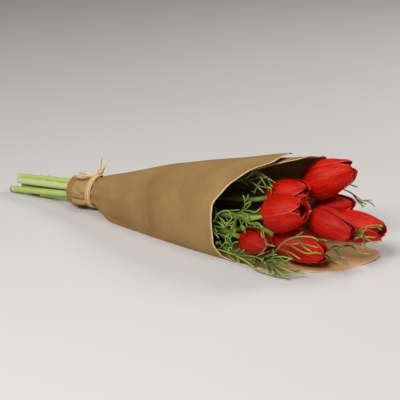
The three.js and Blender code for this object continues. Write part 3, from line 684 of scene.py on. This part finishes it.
# slot in the tie, length behind the tie, a point on the way, first petal's turn, head length and radius,
# and how open the tip is
TULIPS = [
    (0, 124, None, -74, 60, 20.5, 0.34),
    (6, 124, None, -150, 48, 16.8, 0.25),
    (5, 118, None, -40, 48, 20.2, 0.46),
    (4, 131, None, -127, 40, 13.6, 0.2),
    (3, 88, [-60, -18, 20], -108, 62, 18, 0.32),
    (None, 118, [0, -9, 44.5], -115, 54, 15.8, 0.36),
    (1, 94, None, -127, 48, 13.8, 0.3),
    (2, 101, None, -54, 54, 17, 0.42),
]
NUMBERS = range(1, len(TULIPS) + 1)
hinges = {joint["name"]: joint for joint in frame["joints"]}


def head_place(number):
    """Where a flower head turns on its peg, in millimetres from the tie, and the way it points."""
    hinge = hinges[f"head_{number}_turn"]
    return np.array(hinge["pos_m"]) / MILLIMETRE - (TIE_X, 0, 0), np.array(hinge["axis"])


def slot_angle(slot):
    """The slot's angle in the tie, from the top."""
    return FIRST_SLOT + 360 * slot / RING_SLOTS


def stem_line(number):
    """A straight stretch from the cut end to the tie, then a curve to the flower's base."""
    slot, tail, via = TULIPS[number - 1][:3]
    tail_ring, neck_ring = TAIL_RING, NECK_RING
    if slot is None:
        slot = BELOW_MIDDLE
        tail_ring, neck_ring = tail_ring - 2 * STEM_TAIL - STEM_GAP, neck_ring - 2 * STEM_NECK - STEM_GAP
    closing = TAIL_CLOSING * ((CLOSING_FROM - slot) % RING_SLOTS)
    end = from_tie(-tail, slot_angle(slot) + closing, tail_ring)
    neck = from_tie(0, slot_angle(slot), neck_ring)
    base, way = head_place(number)
    straight = (neck - end) / np.linalg.norm(neck - end)
    points = [neck, neck + STEM_LEAD * straight] + ([np.array(via) + (MOUTH, 0, 0)] if via else [])
    bend = spaced(curve([*points, base - STEM_NOD * way, base]), 60)
    return np.concatenate([end + (neck - end) * np.linspace(0, 1, 30, endpoint=False)[:, None], bend])


print("first head:", head_place(1))

# %% [markdown]
# One grid makes a stem: it starts deep in the bore, comes out to the cut end, turns round the rim, runs up
# the outside with a few leaf scars, and ends in the flange and the peg that the flower head turns on.

# %% Stems: skins
STEM_SIDES, RIM_ROUND = 20, 0.35
SCAR_HEIGHT, SCAR_LENGTH, SCAR_PLACES = 1.5, 2.0, (40, 54, 73)
# painted light: the tone and the number of the stem whose tail is made cream
PAINTED_LIGHT_STEM_TONE, PAINTED_LIGHT_STEM = 0.3, 3


def scars(number, distance):
    """Small leaf scars: soft bumps on the upper and near sides of the stem, a finger's width apart."""
    turn = np.linspace(0, 2 * np.pi, STEM_SIDES + 1)[None, :]
    bumps = 0
    for k, at in enumerate(SCAR_PLACES):
        place = at + 5 * np.sin(number * 2.1 + k)
        lump = bell(distance, place, SCAR_LENGTH)[:, None]
        side = np.pi + 0.3 * np.sin(3 * number + 5 * k)
        bumps = bumps + SCAR_HEIGHT * lump * np.cos((turn - side) / 2) ** 14
    return bumps + 0.05 * np.cos(5 * turn)


def stem_patch(number):
    """The bore, the cut face, the outside with its scars, the flange and the peg, as one grid."""
    line = stem_line(number)
    base, way = head_place(number)
    gone = lengths(line)
    left = gone[-1] - gone
    tail = TULIPS[number - 1][1]
    radius = np.interp(gone, [0, tail, gone[-1]], [STEM_TAIL, STEM_NECK, STEM_TOP])
    radius = np.maximum(radius, np.interp(left, [0, 2, STEM_FLARE], [FLANGE, 3.6, STEM_TOP]))
    outside = rings(line, radius[:, None] + scars(number, gone), STEM_SIDES)
    inner = left > STEM_FLARE
    bore = rings(line[inner], STEM_BORE, STEM_SIDES)[::-1]
    rim = rings(line[:2], STEM_TAIL - RIM_ROUND, STEM_SIDES)[:1]
    outside[0] = rings(line[:2] + RIM_ROUND * (line[1] - line[0]) / gone[1], radius[0], STEM_SIDES)[0]
    stops = np.array([[0], [PEG_LENGTH - CHAMFER], [PEG_LENGTH]])
    peg = rings(base + way * stops, [PEG, PEG, PEG - CHAMFER], STEM_SIDES)
    rows = closed(np.concatenate([bore, rim, outside, peg]))
    # painted light on one stem's tail; the cut face is tone 1
    cut_and_painted_light = np.full(len(rows), PAINTED_LIGHT_STEM_TONE if number == PAINTED_LIGHT_STEM else 0.0)
    first = inner.sum() + 2
    cut_and_painted_light[:first] = 1
    along = np.zeros(len(rows))
    along[first : first + len(line)] = gone / gone[-1]
    along[first + len(line) :] = 1
    return patch(rows, cut_and_painted_light[:, None], None, along[:, None])


stem_grids = [stem_patch(number) for number in NUMBERS]
print("rows in each stem:", [len(grid[0]) for grid in stem_grids])

# %% [markdown]
# The stem plastic is pale lime towards the cut ends and has fine lengthwise streaks. Painted shade makes it
# dark green in the paper, painted light makes it paler again near the heads, and painted light makes the
# tail of one stem cream. The cut face is cream, where the colour coat ends. The wires are the packed solids
# with a drawn steel finish.

# %% Stems: finish and pieces
lime = Finish("stem_plastic", Roughness=0.45, Specular_IOR_Level=0.4)
streaks = lime.noise("UV", 2.5, 5, (14, 5, 1))
blotch = lime.noise("Object", 60, 3)
up_stem = lime.along("Y")
cut_face_and_painted_light = lime.tone()
tail_end = 1 - up_stem.step(0.3, 0.6)
green = lime.layers(
    # painted shade: darker green inside the paper
    lime.mix(up_stem.step(0.25, 0.6), colour(186, 208, 112), colour(82, 110, 38)),
    # painted light: paler again near the heads
    (up_stem.step(0.83, 0.94), (166, 188, 82)),
    (streaks.step(0.4, 0.7) * 0.35 * tail_end, (150, 186, 76)),
    (blotch.step(0.5, 0.75) * 0.3 * tail_end, (208, 224, 150)),
    ((1 - up_stem.step(0.0, 0.03)) * 0.6, (224, 226, 180)),
    # painted light: one stem's tail made cream
    (cut_face_and_painted_light.step(0.0, PAINTED_LIGHT_STEM_TONE) * (1 - up_stem.step(0.25, 0.5)) * 0.6, (216, 212, 160)),
    (cut_face_and_painted_light.step(0.4, 0.6), (232, 226, 190)),
)
lime.coat(green, 0.36 + streaks * 0.22, streaks * 0.7 + blotch * 0.3, 0.0003)
steel = Finish("drawn_wire", Metallic=1.0, Roughness=0.38)
drawn = steel.noise("Object", 3, 3, (60, 900, 900))
shine = steel.mix(drawn, colour(120, 122, 124), colour(176, 178, 180))
steel.feed(steel.shader, {"Base Color": shine, "Roughness": 0.3 + drawn * 0.25})
for number in NUMBERS:
    grid = stem_grids[number - 1]
    piece(f"tulip_{number}_stalk", [grid], lime, "bunch", f"tulip_{number}_stem", 60)
    wire = frame["nodes"][f"tulip_{number}_wire"]
    wire.data.materials.clear()
    wire.data.materials.append(steel.material)
print("stems:", len(TULIPS))

# %% [markdown]
# ## Tulip heads
# A tulip has three outer petals and three inner ones that fill the spaces between. All of them lie on a
# cup, a profile turned about the head's axis. Petals could be sculpted one by one, but a formula with
# drawn numbers gives 48 of them that all fit their hubs.

# %% Tulip heads: the cup
# half a petal's angle, the hub's radius, steps in and up from the outer whorl, the spiral's lift, how far
# tips curl out, the three top heights of the cup as shares, the tip's share, and the whorl's own turn
Whorl = namedtuple("Whorl", "word slot half hub step rise spiral curl heights tip turn")
OUTER = Whorl("outer", "petal_red", 1.12, 6.4, 0, 0, 0.7, (0.4, 1.8), (0.82, 0.94, 1), 1, 0)
INNER = Whorl("inner", "petal_inner", 1.0, 4.8, 2.9, 2.5, 0, (-0.2, 0.5), (0.8, 0.9, 0.95), 0.8, 60)
PETAL_THICKNESS, HUB_THICKNESS, HUB_BEVEL = 0.9, 1.2, 0.2
PEG_BORE, PETAL_SEAT, SEAT_GAP = 2.35, 1.6, 0.3


def spline(points, t):
    """A Catmull-Rom curve through points at equal steps of t, its ends repeated."""
    p = np.array(points, float)
    p = np.concatenate([p[:1], p, p[-1:]])
    place = np.clip(t, 0, 1) * (len(p) - 3)
    k = np.minimum(place.astype(int), len(p) - 4)
    f = (place - k)[..., None]
    a, b, c, d = p[k], p[k + 1], p[k + 2], p[k + 3]
    return b + 0.5 * f * (c - a + f * (2 * a - 5 * b + 4 * c - d + f * (3 * (b - c) + d - a)))


def cup(number, whorl):
    """The head's profile: radius and height from the hub, out to the belly and in to the tip."""
    length, radius, tip = TULIPS[number - 1][4:]
    r, rise = radius - whorl.step, whorl.rise
    shoulder, neck, end = whorl.heights
    return [
        (whorl.hub - PETAL_SEAT, SEAT_GAP + rise + HUB_THICKNESS / 2),
        (0.62 * r, 0.06 * length + rise),
        (0.93 * r, 0.22 * length + 0.6 * rise),
        (r, 0.42 * length),
        (0.92 * r, 0.63 * length),
        (0.73 * r, shoulder * length),
        ((0.45 * tip + 0.4) * r, neck * length),
        (whorl.tip * tip * r, end * length),
    ]


def to_head(number, local):
    """Turns points about the head's own upright axis into its place and lean in the bunch."""
    base, way = head_place(number)
    x, y, z = way
    cross = np.array([[0, 0, x], [0, 0, y], [-x, -y, 0]])
    return base + local @ (np.eye(3) + cross + cross @ cross / (1 + z)).T


print("widest radius of the outer cups:", [max(r for r, _ in cup(number, OUTER)) for number in NUMBERS])

# %% [markdown]
# Across, a petal is a thin lens with round edges. Along the cup the lens widens to the belly and closes to
# a soft point. A shallow groove runs up the middle, the edges wave and lift a little, the tips are ruffled,
# and drawn numbers make no two petals quite alike.

# %% Tulip heads: petals and hubs
PETAL_ROWS, PETAL_COLUMNS = 52, 56
TAPER_FROM, FOOT_END, FOOT_WIDTH = 0.52, 0.35, 0.75
GROOVE_DEPTH, GROOVE_WIDTH, VEIN_HEIGHT, WAVE_HEIGHT, EDGE_LIFT = 0.5, 0.1, 0.06, 0.4, 0.5
RUFFLE_HEIGHT, RUFFLE_FROM, RUFFLE_FULL = 0.8, 0.5, 0.9
# painted shade: how much darker each head's red is made, from 0 to 1, most for heads that sit in shade
HEAD_PAINTED_SHADE = [0.05, 0.35, 0.5, 1.0, 0.1, 0.55, 0.4, 0.05]
petal_draw = np.random.default_rng(5)


def petal(number, whorl, spin):
    """A lens carried up the cup, wide enough to overlap its neighbours, as a closed grid."""
    u = np.linspace(0, 1, PETAL_ROWS)[:, None] ** 0.85
    around = np.linspace(0, 2 * np.pi, PETAL_COLUMNS + 1)[None, :]
    s, face = -np.cos(around), np.sin(around)
    centre = spline(cup(number, whorl), u[:, 0])
    slope = np.gradient(centre, axis=0)
    slope /= np.linalg.norm(slope, axis=1, keepdims=True)
    taper = np.clip(u - TAPER_FROM, 0, 1) / (1 - TAPER_FROM)
    grown = np.minimum(u / FOOT_END, 1)
    phase, lean = petal_draw.uniform(0, 2 * np.pi, 3), petal_draw.uniform(-0.05, 0.05)
    point = petal_draw.uniform(0.42, 0.56)
    curl = petal_draw.uniform(*whorl.curl)
    foot = FOOT_WIDTH + (1 - FOOT_WIDTH) * grown
    half = whorl.half * foot * (1 - taper**2) ** point
    belly = np.sin(np.pi * u) ** 0.7
    spiral = whorl.spiral * s * grown
    dip = -GROOVE_DEPTH * bell(s, 0, GROOVE_WIDTH) * belly
    veins = VEIN_HEIGHT * np.cos(9 * np.pi * s + phase[0]) * belly
    wave = WAVE_HEIGHT * np.abs(s) ** 3 * np.sin(6 * u + phase[1] + 1.5 * s) * belly
    lifted = EDGE_LIFT * np.clip(s, 0, 1) ** 6 * belly
    ruffle = RUFFLE_HEIGHT * np.sin(7 * s + phase[2]) * smooth(u, RUFFLE_FROM, RUFFLE_FULL)
    skin = PETAL_THICKNESS / 2 * face * (1 - 0.4 * u)
    offset = skin + spiral + dip + veins + wave + lifted + ruffle + curl * u**8
    radius = centre[:, :1] + offset * slope[:, 1:]
    height = centre[:, 1:] - offset * slope[:, :1]
    grid = to_head(number, turned(radius, spin + lean * u + half * s, height))
    # painted shade for the head, with a small drawn spread per petal
    painted_shade = HEAD_PAINTED_SHADE[number - 1] + petal_draw.uniform(-0.1, 0.1)
    return patch(closed(grid), painted_shade, (s + 1) / 2, np.concatenate([[[0]], u, [[1]]]))


def hub(number, whorl):
    """The flat ring that holds a whorl's petals and turns on the peg."""
    low, rim = SEAT_GAP + whorl.rise, whorl.hub
    high, bevel = low + HUB_THICKNESS, rim - HUB_BEVEL
    radius = [PEG_BORE, bevel, rim, rim, bevel, PEG_BORE, PEG_BORE]
    height = [low, low, low + HUB_BEVEL, high - HUB_BEVEL, high, high, low]
    turn = np.linspace(0, 2 * np.pi, 33)
    grid = to_head(number, turned(np.array(radius)[:, None], turn, np.array(height)[:, None]))
    return patch(grid, 0.5, None, np.zeros((7, 1)))


print("points in one petal and one hub:", (PETAL_ROWS + 2) * (PETAL_COLUMNS + 1), hub(1, OUTER)[2].size)

# %% [markdown]
# The petals are soft-touch plastic on cloth, a strong warm red with darker streaks that run up from the hub
# and a satin sheen. Painted shade darkens the red towards the hub and on heads that sit in shade, and a
# painted highlight makes the edge paler, most towards the tip. The streaks follow the petal, so they use
# its texture coordinates.

# %% Tulip heads: finish
def petal_finish(name, deep, bright):
    """Red with lengthwise streaks, painted shade towards the hub and on shaded heads, and a painted
    highlight on the rim.
    """
    red = Finish(name, Roughness=0.3, Specular_IOR_Level=0.15)
    streak = red.noise("UV", 3.2, 6, (13, 1.1, 1))
    fine = red.noise("UV", 3, 3, (60, 4, 1))
    cloud = red.noise("Object", 70, 3)
    up = red.along("Y")
    aside = red.along("X") - 0.5
    rim = aside.maths("ABSOLUTE", aside).step(0.455, 0.5)
    tint = red.layers(
        red.mix(cloud.step(0.3, 0.7), deep, bright),
        (streak.step(0.47, 0.62) * 0.8, (140, 4, 4)),
        (fine.step(0.5, 0.66) * 0.5, (250, 62, 24)),
        # painted shade: each head's own darker red
        (red.tone() * 0.7, (140, 5, 2)),
        # painted shade: darker towards the hub
        ((1 - up.step(0.02, 0.3)) * 0.6, (122, 6, 8)),
        # painted highlight: a paler rim, and paler still towards the tip
        (rim * 0.3, (240, 84, 62)),
        (rim * up.step(0.45, 0.85) * 0.5, (250, 150, 124)),
        (1 - up.step(0.0, 0.04), (150, 150, 50)),
    )
    red.coat(tint, 0.24 + streak * 0.22, streak * 0.6 + fine * 0.5, 0.0004)
    return red


outer_red = petal_finish(OUTER.slot, colour(206, 16, 2), colour(240, 34, 4))
inner_red = petal_finish(INNER.slot, colour(184, 10, 2), colour(214, 20, 4))
print("petal finishes:", outer_red.material.name, inner_red.material.name)

# %% [markdown]
# ## Flower hearts
# Inside the cup sit a green pistil with a three-lobed head and six dark stamens. They show only where a
# tulip has opened. A Screw modifier could turn the pistil's profile, but not with lobes, so it is a grid
# as well, and the stamens are tubes.

# %% Flower hearts
PISTIL_WALL, CENTRE_LOW, PISTIL_HEIGHT, LOBE_DEPTH = 3.5, 4.9, 18.8, 0.22
STAMENS, STAMEN_OUT, STAMEN_HIGH = 6, [2.9, 4.2, 5.3, 5.8, 6.0, 6.1], [7, 9, 11, 12, 14, 16.5]


def heart(number):
    """The pistil's profile turned with three lobes at its head, and six stamens that lean outwards."""
    cap = PEG_LENGTH + SEAT_GAP
    profile = np.array([(0, cap), (PEG_BORE, cap), (PEG_BORE, CENTRE_LOW), (PISTIL_WALL, CENTRE_LOW),
                        (PISTIL_WALL, 10), (2.6, 12.5), (2.1, 15.6), (2.7, 16.8), (2.8, 17.8), (1.6, 18.6),
                        (0, PISTIL_HEIGHT)])
    turn = np.linspace(0, 2 * np.pi, 37)[None, :]
    lobes = 1 + LOBE_DEPTH * np.cos(3 * turn) * smooth(profile[:, 1:], 15, 17)
    parts = [patch(to_head(number, turned(profile[:, :1] * lobes, turn, profile[:, 1:])), 0.2)]
    thick = np.interp(np.linspace(0, 1, 16), [0, 0.45, 0.55, 0.9, 1], [0.5, 0.45, 0.95, 0.9, 0.4])
    for angle in np.linspace(0, 2 * np.pi, STAMENS, endpoint=False):
        line = spaced(curve(to_head(number, turned(STAMEN_OUT, angle, STAMEN_HIGH))), 16)
        parts.append(patch(closed(rings(line, thick, 8)), 0.9))
    return parts


pith = Finish("flower_centre", Roughness=0.6)
grainy = pith.noise("Object", 900, 3)
tint = pith.mix(pith.tone().step(0.4, 0.6), colour(150, 168, 70), colour(46, 30, 30))
tint = pith.layers(tint, (grainy * 0.4, (196, 178, 90)))
pith.coat(tint, 0.5 + grainy * 0.3, grainy, 0.0003)
print("parts in one heart:", len(heart(1)))

# %% [markdown]
# A head is three outer petals on a hub, three inner ones on a hub above it, turned by half a step, and the
# heart. Its three pieces ride the body that turns on the stem's peg.

# %% Flower heads put together
for number in NUMBERS:
    body, node = f"head_{number}", f"tulip_{number}"
    for whorl, finish in ((OUTER, outer_red), (INNER, inner_red)):
        spins = np.radians(TULIPS[number - 1][3] + np.array([0, 120, 240]) + whorl.turn)
        parts = [petal(number, whorl, spin) for spin in spins] + [hub(number, whorl)]
        name = f"{node}_{whorl.word}"
        piece(f"{name}_cup", parts, finish, body, f"{name}_petals", 80)
    piece(f"{node}_heart", heart(number), pith, body, f"{node}_centre")
print("flower heads:", len(TULIPS))

# %% [markdown]
# ## Plastic fern
# The fern is moulded in thin round strands that fork again and again and end bluntly. Its stalks are
# tucked between the stems under the raffia and come out among the flowers. A rule of growth could place
# every strand, but stalks and twigs have to be where the packed solids are, so their routes are points,
# in millimetres from the middle of the mouth.

# %% Plastic fern: routes
# the place between two stems, the stalk, and the twigs, each from a point near an earlier strand
SPRIGS = [
    (5.5, [[-140, -15, 57], [-70, -14, 74], [-31, -10, 82], [-18, -10, 93], [-1, -10, 88], [8, -11, 85]],
     [[[-18, -10, 93], [-8, -12, 86], [-2, -14, 81], [5, -15, 79]],
      [[-8, -12, 86], [-12, -14, 80], [-9, -16, 76]], [[-31, -10, 82], [-16, -14, 80], [-2, -18, 74]]]),
    (4.5, [[-150, -30, 36], [-90, -40, 38], [-48, -46, 41], [-44, -46, 49], [-36, -46, 55], [-29, -46, 56],
           [-24, -48, 50], [-31, -50, 40]],
     [[[-48, -46, 41], [-40, -48, 41], [-32, -50, 38]], [[-48, -46, 41], [-46, -49, 31], [-39, -50, 24]],
      [[-29, -46, 56], [-20, -47, 54], [-22, -48, 35]],
      [[-20, -47, 54], [-9, -48, 53], [0, -50, 49], [12, -54, 54], [20, -58, 50], [23, -58, 38],
       [28, -57, 32]],
      [[-16, -47, 54], [-12, -48, 46], [-6, -50, 42]], [[-45, -48, 49], [-35, -48, 45], [-32, -48, 41]],
      [[-24, -48, 54], [-19, -48, 51], [-20, -48, 40], [-18, -48, 37]],
      [[-20, -46, 53], [-18, -44, 56], [-8, -44, 56], [-5, -44, 50]],
      [[-17, -46, 54], [-11, -45, 49], [-14, -45, 42], [-11, -45, 39]],
      [[-18, -44, 56], [-8, -42, 60], [1, -42, 60], [8, -42, 66]],
      [[-15, -42, 57], [-13, -40, 63], [-10, -40, 67], [-5, -40, 70]],
      [[-46, -48, 36], [-35, -48, 37], [-27, -48, 42], [-20, -48, 48]],
      [[-45, -49, 30], [-39, -48, 28], [-29, -48, 27], [-24, -48, 22]]]),
    (3.5, [[-190, -17, 13], [-120, -34, 10], [-50, -45, 9], [-17, -52, 10], [4, -56, 6], [12, -59, 4],
           [22, -61, 3], [47, -62, 3]],
     [[[-17, -52, 10], [-2, -53, 13], [16, -56, 15], [25, -58, 11]],
      [[10, -59, 5], [23, -57, 11], [31, -56, 19], [42, -56, 23], [54, -55, 23]],
      [[25, -58, 11], [33, -58, 13], [44, -58, 12], [58, -58, 9]],
      [[25, -58, 11], [36, -60, 10], [47, -61, 5], [54, -62, 3]],
      [[16, -56, 15], [32, -53, 25], [37, -46, 33], [44, -43, 39], [56, -42, 44], [72, -42, 46],
       [77, -42, 44]],
      [[37, -46, 33], [46, -44, 32], [55, -43, 29], [64, -42, 27], [77, -42, 31]],
      [[52, -42, 43], [60, -42, 34], [70, -42, 30]], [[35, -50, 28], [46, -44, 24], [58, -43, 19]],
      [[-50, -45, 9], [-42, -46, 17], [-31, -46, 11], [-18, -46, 13], [-13, -46, 19]],
      [[-31, -46, 11], [-34, -44, 24], [-30, -44, 29]], [[-26, -47, 11], [-22, -47, 21], [-14, -47, 25]],
      [[19, -57, 12], [26, -58, 6], [29, -58, 3]],
      [[31, -56, 18], [39, -57, 16], [50, -57, 21], [56, -57, 25]],
      [[33, -58, 13], [46, -59, 11], [59, -59, 10]], [[34, -59, 10], [41, -60, 4], [54, -60, 7]],
      [[22, -56, 15], [33, -56, 16], [39, -56, 8]]]),
    (2.5, [[-170, 5, 9], [-70, 6, 8], [20, 7, 9], [55, 6, 12], [76, 3, 19], [85, 4, 24], [93, 5, 32],
           [101, 6, 37], [119, 8, 40]],
     [[[93, 5, 32], [100, 7, 43], [108, 8, 50], [121, 8, 54], [127, 8, 54]],
      [[100, 7, 43], [110, 6, 37], [117, 6, 35], [127, 8, 38]],
      [[85, 4, 24], [95, 4, 26], [103, 2, 22], [116, 2, 22]],
      [[76, 3, 19], [82, 0, 14], [90, -2, 13]], [[55, 6, 12], [70, 0, 9], [81, -4, 7]]]),
    (0.5, [[-160, 25, 46], [-70, 48, 60], [5, 62, 66], [50, 65, 64], [62, 67, 60], [74, 66, 55],
           [84, 66, 55]],
     [[[62, 67, 60], [70, 68, 51], [78, 67, 48]], [[40, 65, 65], [56, 64, 71], [70, 64, 70]]]),
]
print("twigs on each sprig:", [len(twigs) for _, _, twigs in SPRIGS])

# %% [markdown]
# Flower heads turn and the bunch slides, so a strand has to keep its distance. Stalks and twigs are pushed
# straight out from a head's axis, as far as a turning petal may reach.

# %% Plastic fern: keeping clear
PETAL_CLEARANCE, FORK_CLEARANCE, WALL_CLEARANCE, WALL_FROM, FLOOR_CLEARANCE = 3.0, 1.6, 2.2, 5, 1.5
FORK_START, SPARSE_FROM = MOUTH - 70, MOUTH + 30
outer_face = faces_of_sheet[0].reshape(-1, 3)
wall = outer_face[(outer_face[:, 2] > WALL_FROM) & (outer_face[:, 0] > FORK_START)]
cups = {n: spline(cup(n, OUTER), np.linspace(0, 1, 40)) for n in NUMBERS}


def from_axis(number, points):
    """How high points are on a head's axis, the way out to them, and how far they are inside its cup."""
    base, way = head_place(number)
    high = (points - base) @ way
    aside = points - base - high[:, None] * way
    cup_radius = np.interp(high, cups[number][:, 1], cups[number][:, 0])
    return high, aside, cup_radius - np.linalg.norm(aside, axis=1)


def in_flower(points):
    """True where a point lies inside a flower head: nearer its axis than the cup's radius there."""
    hit = np.zeros(len(points), bool)
    for number in NUMBERS:
        high, _, inside = from_axis(number, points)
        hit |= (high > -3) & (high < cups[number][-1, 1] + 1) & (inside > -FORK_CLEARANCE)
    return hit


def in_wall(points):
    """True if a line comes closer to the standing paper than a strand may."""
    return np.linalg.norm(wall - points[:, None], axis=2).min() < WALL_CLEARANCE


def clear_of_flowers(line):
    """Pushes a line out from each flower's axis until it clears the cup, less and less past its ends."""
    for number in NUMBERS:
        high, aside, inside = from_axis(number, line)
        top = cups[number][-1, 1]
        push = np.clip(inside + PETAL_CLEARANCE, 0, None) * plateau(high, -6, 2, top - 2, top + 6)
        line = line + (push / np.linalg.norm(aside, axis=1))[:, None] * aside
    return line


print("points of standing paper:", len(wall))

# %% [markdown]
# Short forks sprout from the stalks and twigs at uneven steps and to drawn sides, and most carry a shorter
# one that forks again. A fork that would run into a flower, the paper or the table is left out. Forks and
# tones are drawn from two generators, so leaving one out doesn't change the others.

# %% Plastic fern: strands
STALK_RING, STALK_TUCK, STALK_SLOT_END = 12.2, 16, 14
STALK_RADII, TWIG_RADII, FORK_RADII = (1.0, 0.75), (0.95, 0.7), (0.8, 0.55)
BLUNT_SHARE = 0.05
fork_draw, tone_draw = np.random.default_rng(22), np.random.default_rng(4)


def twig(line, thick, thin):
    """A round strand with a blunt tip, from thick to thin, that keeps clear of the flowers."""
    line = clear_of_flowers(line)
    t = np.linspace(0, 1, len(line))
    tip = np.clip(t - (1 - BLUNT_SHARE), 0, 1) / BLUNT_SHARE
    blunt = np.sqrt(np.clip(1 - tip**2, 0.12, 1))
    return patch(closed(rings(line, (thick + (thin - thick) * t) * blunt, 8)), tone_draw.uniform(0, 1))


def fork(line, k, length):
    """A strand that leaves a line at its point k, to a drawn side, and bends forward or hooks back."""
    way, over, out = (directions[k] for directions in frames(line))
    lean = fork_draw.uniform(0, 2 * np.pi)
    aside = over * np.cos(lean) + out * np.sin(lean)
    ahead, beside = fork_draw.uniform(0.4, 0.9), fork_draw.uniform(0.35, 0.7)
    bent = line[k] + length * np.outer((0, 0.4, ahead), way) + length * np.outer((0, 0.3, beside), aside)
    return spaced(curve(bent), 12)


def forks(line):
    """Strands at uneven steps along a line, and on most of them a shorter one that forks again."""
    gone = lengths(line)
    routes, at = [], gone[np.argmax(line[:, 0] > FORK_START)] + fork_draw.uniform(4, 8)
    while at < gone[-1] - 3:
        first = fork(line, np.searchsorted(gone, at), fork_draw.uniform(11, 21))
        second = fork(first, fork_draw.integers(3, 7), fork_draw.uniform(8, 14))
        routes += [first, second][: fork_draw.integers(1, 3)]
        at += fork_draw.uniform(9, 16) * (2 if first[0, 0] > SPARSE_FROM else 1)
    clear = [path for path in routes if not in_flower(path).any() and path[:, 2].min() > FLOOR_CLEARANCE]
    return [twig(path, *FORK_RADII) for path in clear if not in_wall(path)]


def sprig(between, stalk, twigs):
    """A stalk from the tie to its tip, the twigs that leave it at its nearest points, and the forks."""
    tucked = [from_tie(along, slot_angle(between), STALK_RING) for along in (-STALK_TUCK, STALK_SLOT_END)]
    main = spaced(curve([*tucked, *(np.array(stalk) + (MOUTH, 0, 0))]), 130)
    grown, parts = [main], [twig(main, *STALK_RADII)]
    for points in twigs:
        known, route = np.concatenate(grown), np.array(points) + (MOUTH, 0, 0)
        root = known[np.argmin(np.linalg.norm(known - route[0], axis=1))]
        grown.append(spaced(curve([root, *route[1:]]), 32))
        parts.append(twig(grown[-1], *TWIG_RADII))
    return parts + [fork for line in grown for fork in forks(line)]


sprigs = [sprig(*row) for row in SPRIGS]
print("strands in each sprig:", [len(parts) for parts in sprigs])

# %% [markdown]
# The fern plastic is mid green inside the paper and lime towards the tips, with a slight gloss.

# %% Plastic fern: finish and pieces
fern = Finish("fern_plastic", Roughness=0.42, Specular_IOR_Level=0.45)
up_twig = fern.along("Y")
mottle = fern.noise("Object", 160, 4)
leaf = fern.layers(
    fern.mix(up_twig.step(0.1, 0.95), colour(44, 84, 26), colour(164, 186, 74)),
    (fern.tone() * 0.4, (122, 156, 48)),
    (mottle.step(0.5, 0.75) * 0.4, (60, 104, 38)),
)
fern.coat(leaf, 0.34 + mottle * 0.25, mottle, 0.0003)
for k, parts in enumerate(sprigs, 1):
    piece(f"fern_{k}", parts, fern, "bunch", f"fern_sprig_{k}")
print("fern sprigs:", len(sprigs))

# %% [markdown]
# ## Floor and light
# A plain pale floor runs past the edges of the picture. The key lamp is large and soft and stands in front
# of the bunch, a wide one hangs overhead, and a third stands behind for the far side and the inside of the
# lip. A faint even sky fills the shade.

# %% Floor and light
FLOOR_HALF = 6.0
corners = np.array([[-1, -1, 0], [1, -1, 0], [1, 1, 0], [-1, 1, 0]]) * FLOOR_HALF
floor_mesh = bpy.data.meshes.new("floor")
floor_mesh.from_pydata(corners, [], [(0, 1, 2, 3)])
pale = Finish("pale_floor", Roughness=0.9, Specular_IOR_Level=0.1)
dust = pale.noise("Object", 3, 2)
pale.feed(pale.shader, {"Base Color": pale.mix(dust, colour(214, 211, 206), colour(220, 217, 213))})
floor_mesh.materials.append(pale.material)
floor = bpy.data.objects.new("floor", floor_mesh)
bpy.context.collection.objects.link(floor)

# place, size across in metres, power in watts
LAMPS = {
    "key": ((0.15, -1.35, 1.4), 0.8, 28),
    "overhead": ((0.3, 0.0, 1.9), 1.0, 8),
    "back": ((0.7, 1.4, 1.3), 0.8, 14),
}
target = np.array([0.02, 0.0, 0.04])
for name, (place, size, power) in LAMPS.items():
    lamp = bpy.data.lights.new(name, "AREA")
    lamp.shape, lamp.size, lamp.energy = "DISK", size, power
    holder = bpy.data.objects.new(name, lamp)
    holder.location = place
    x, y, z = target - np.array(place)
    holder.rotation_euler = (np.arctan2(np.hypot(x, y), -z), 0, np.arctan2(y, x) - np.pi / 2)
    bpy.context.collection.objects.link(holder)
world = bpy.data.worlds.new("sky")
world.use_nodes = True
world.node_tree.nodes["Background"].inputs["Color"].default_value = colour(236, 238, 242)
world.node_tree.nodes["Background"].inputs["Strength"].default_value = 0.06
bpy.context.scene.world = world
bpy.context.scene.view_settings.view_transform = "Standard"
print("lamps:", list(LAMPS))

# %% [markdown]
# ## Size and finish
# The drawn surfaces should stay close to the box of the solids, and only fork tips reach a few
# millimetres past it.
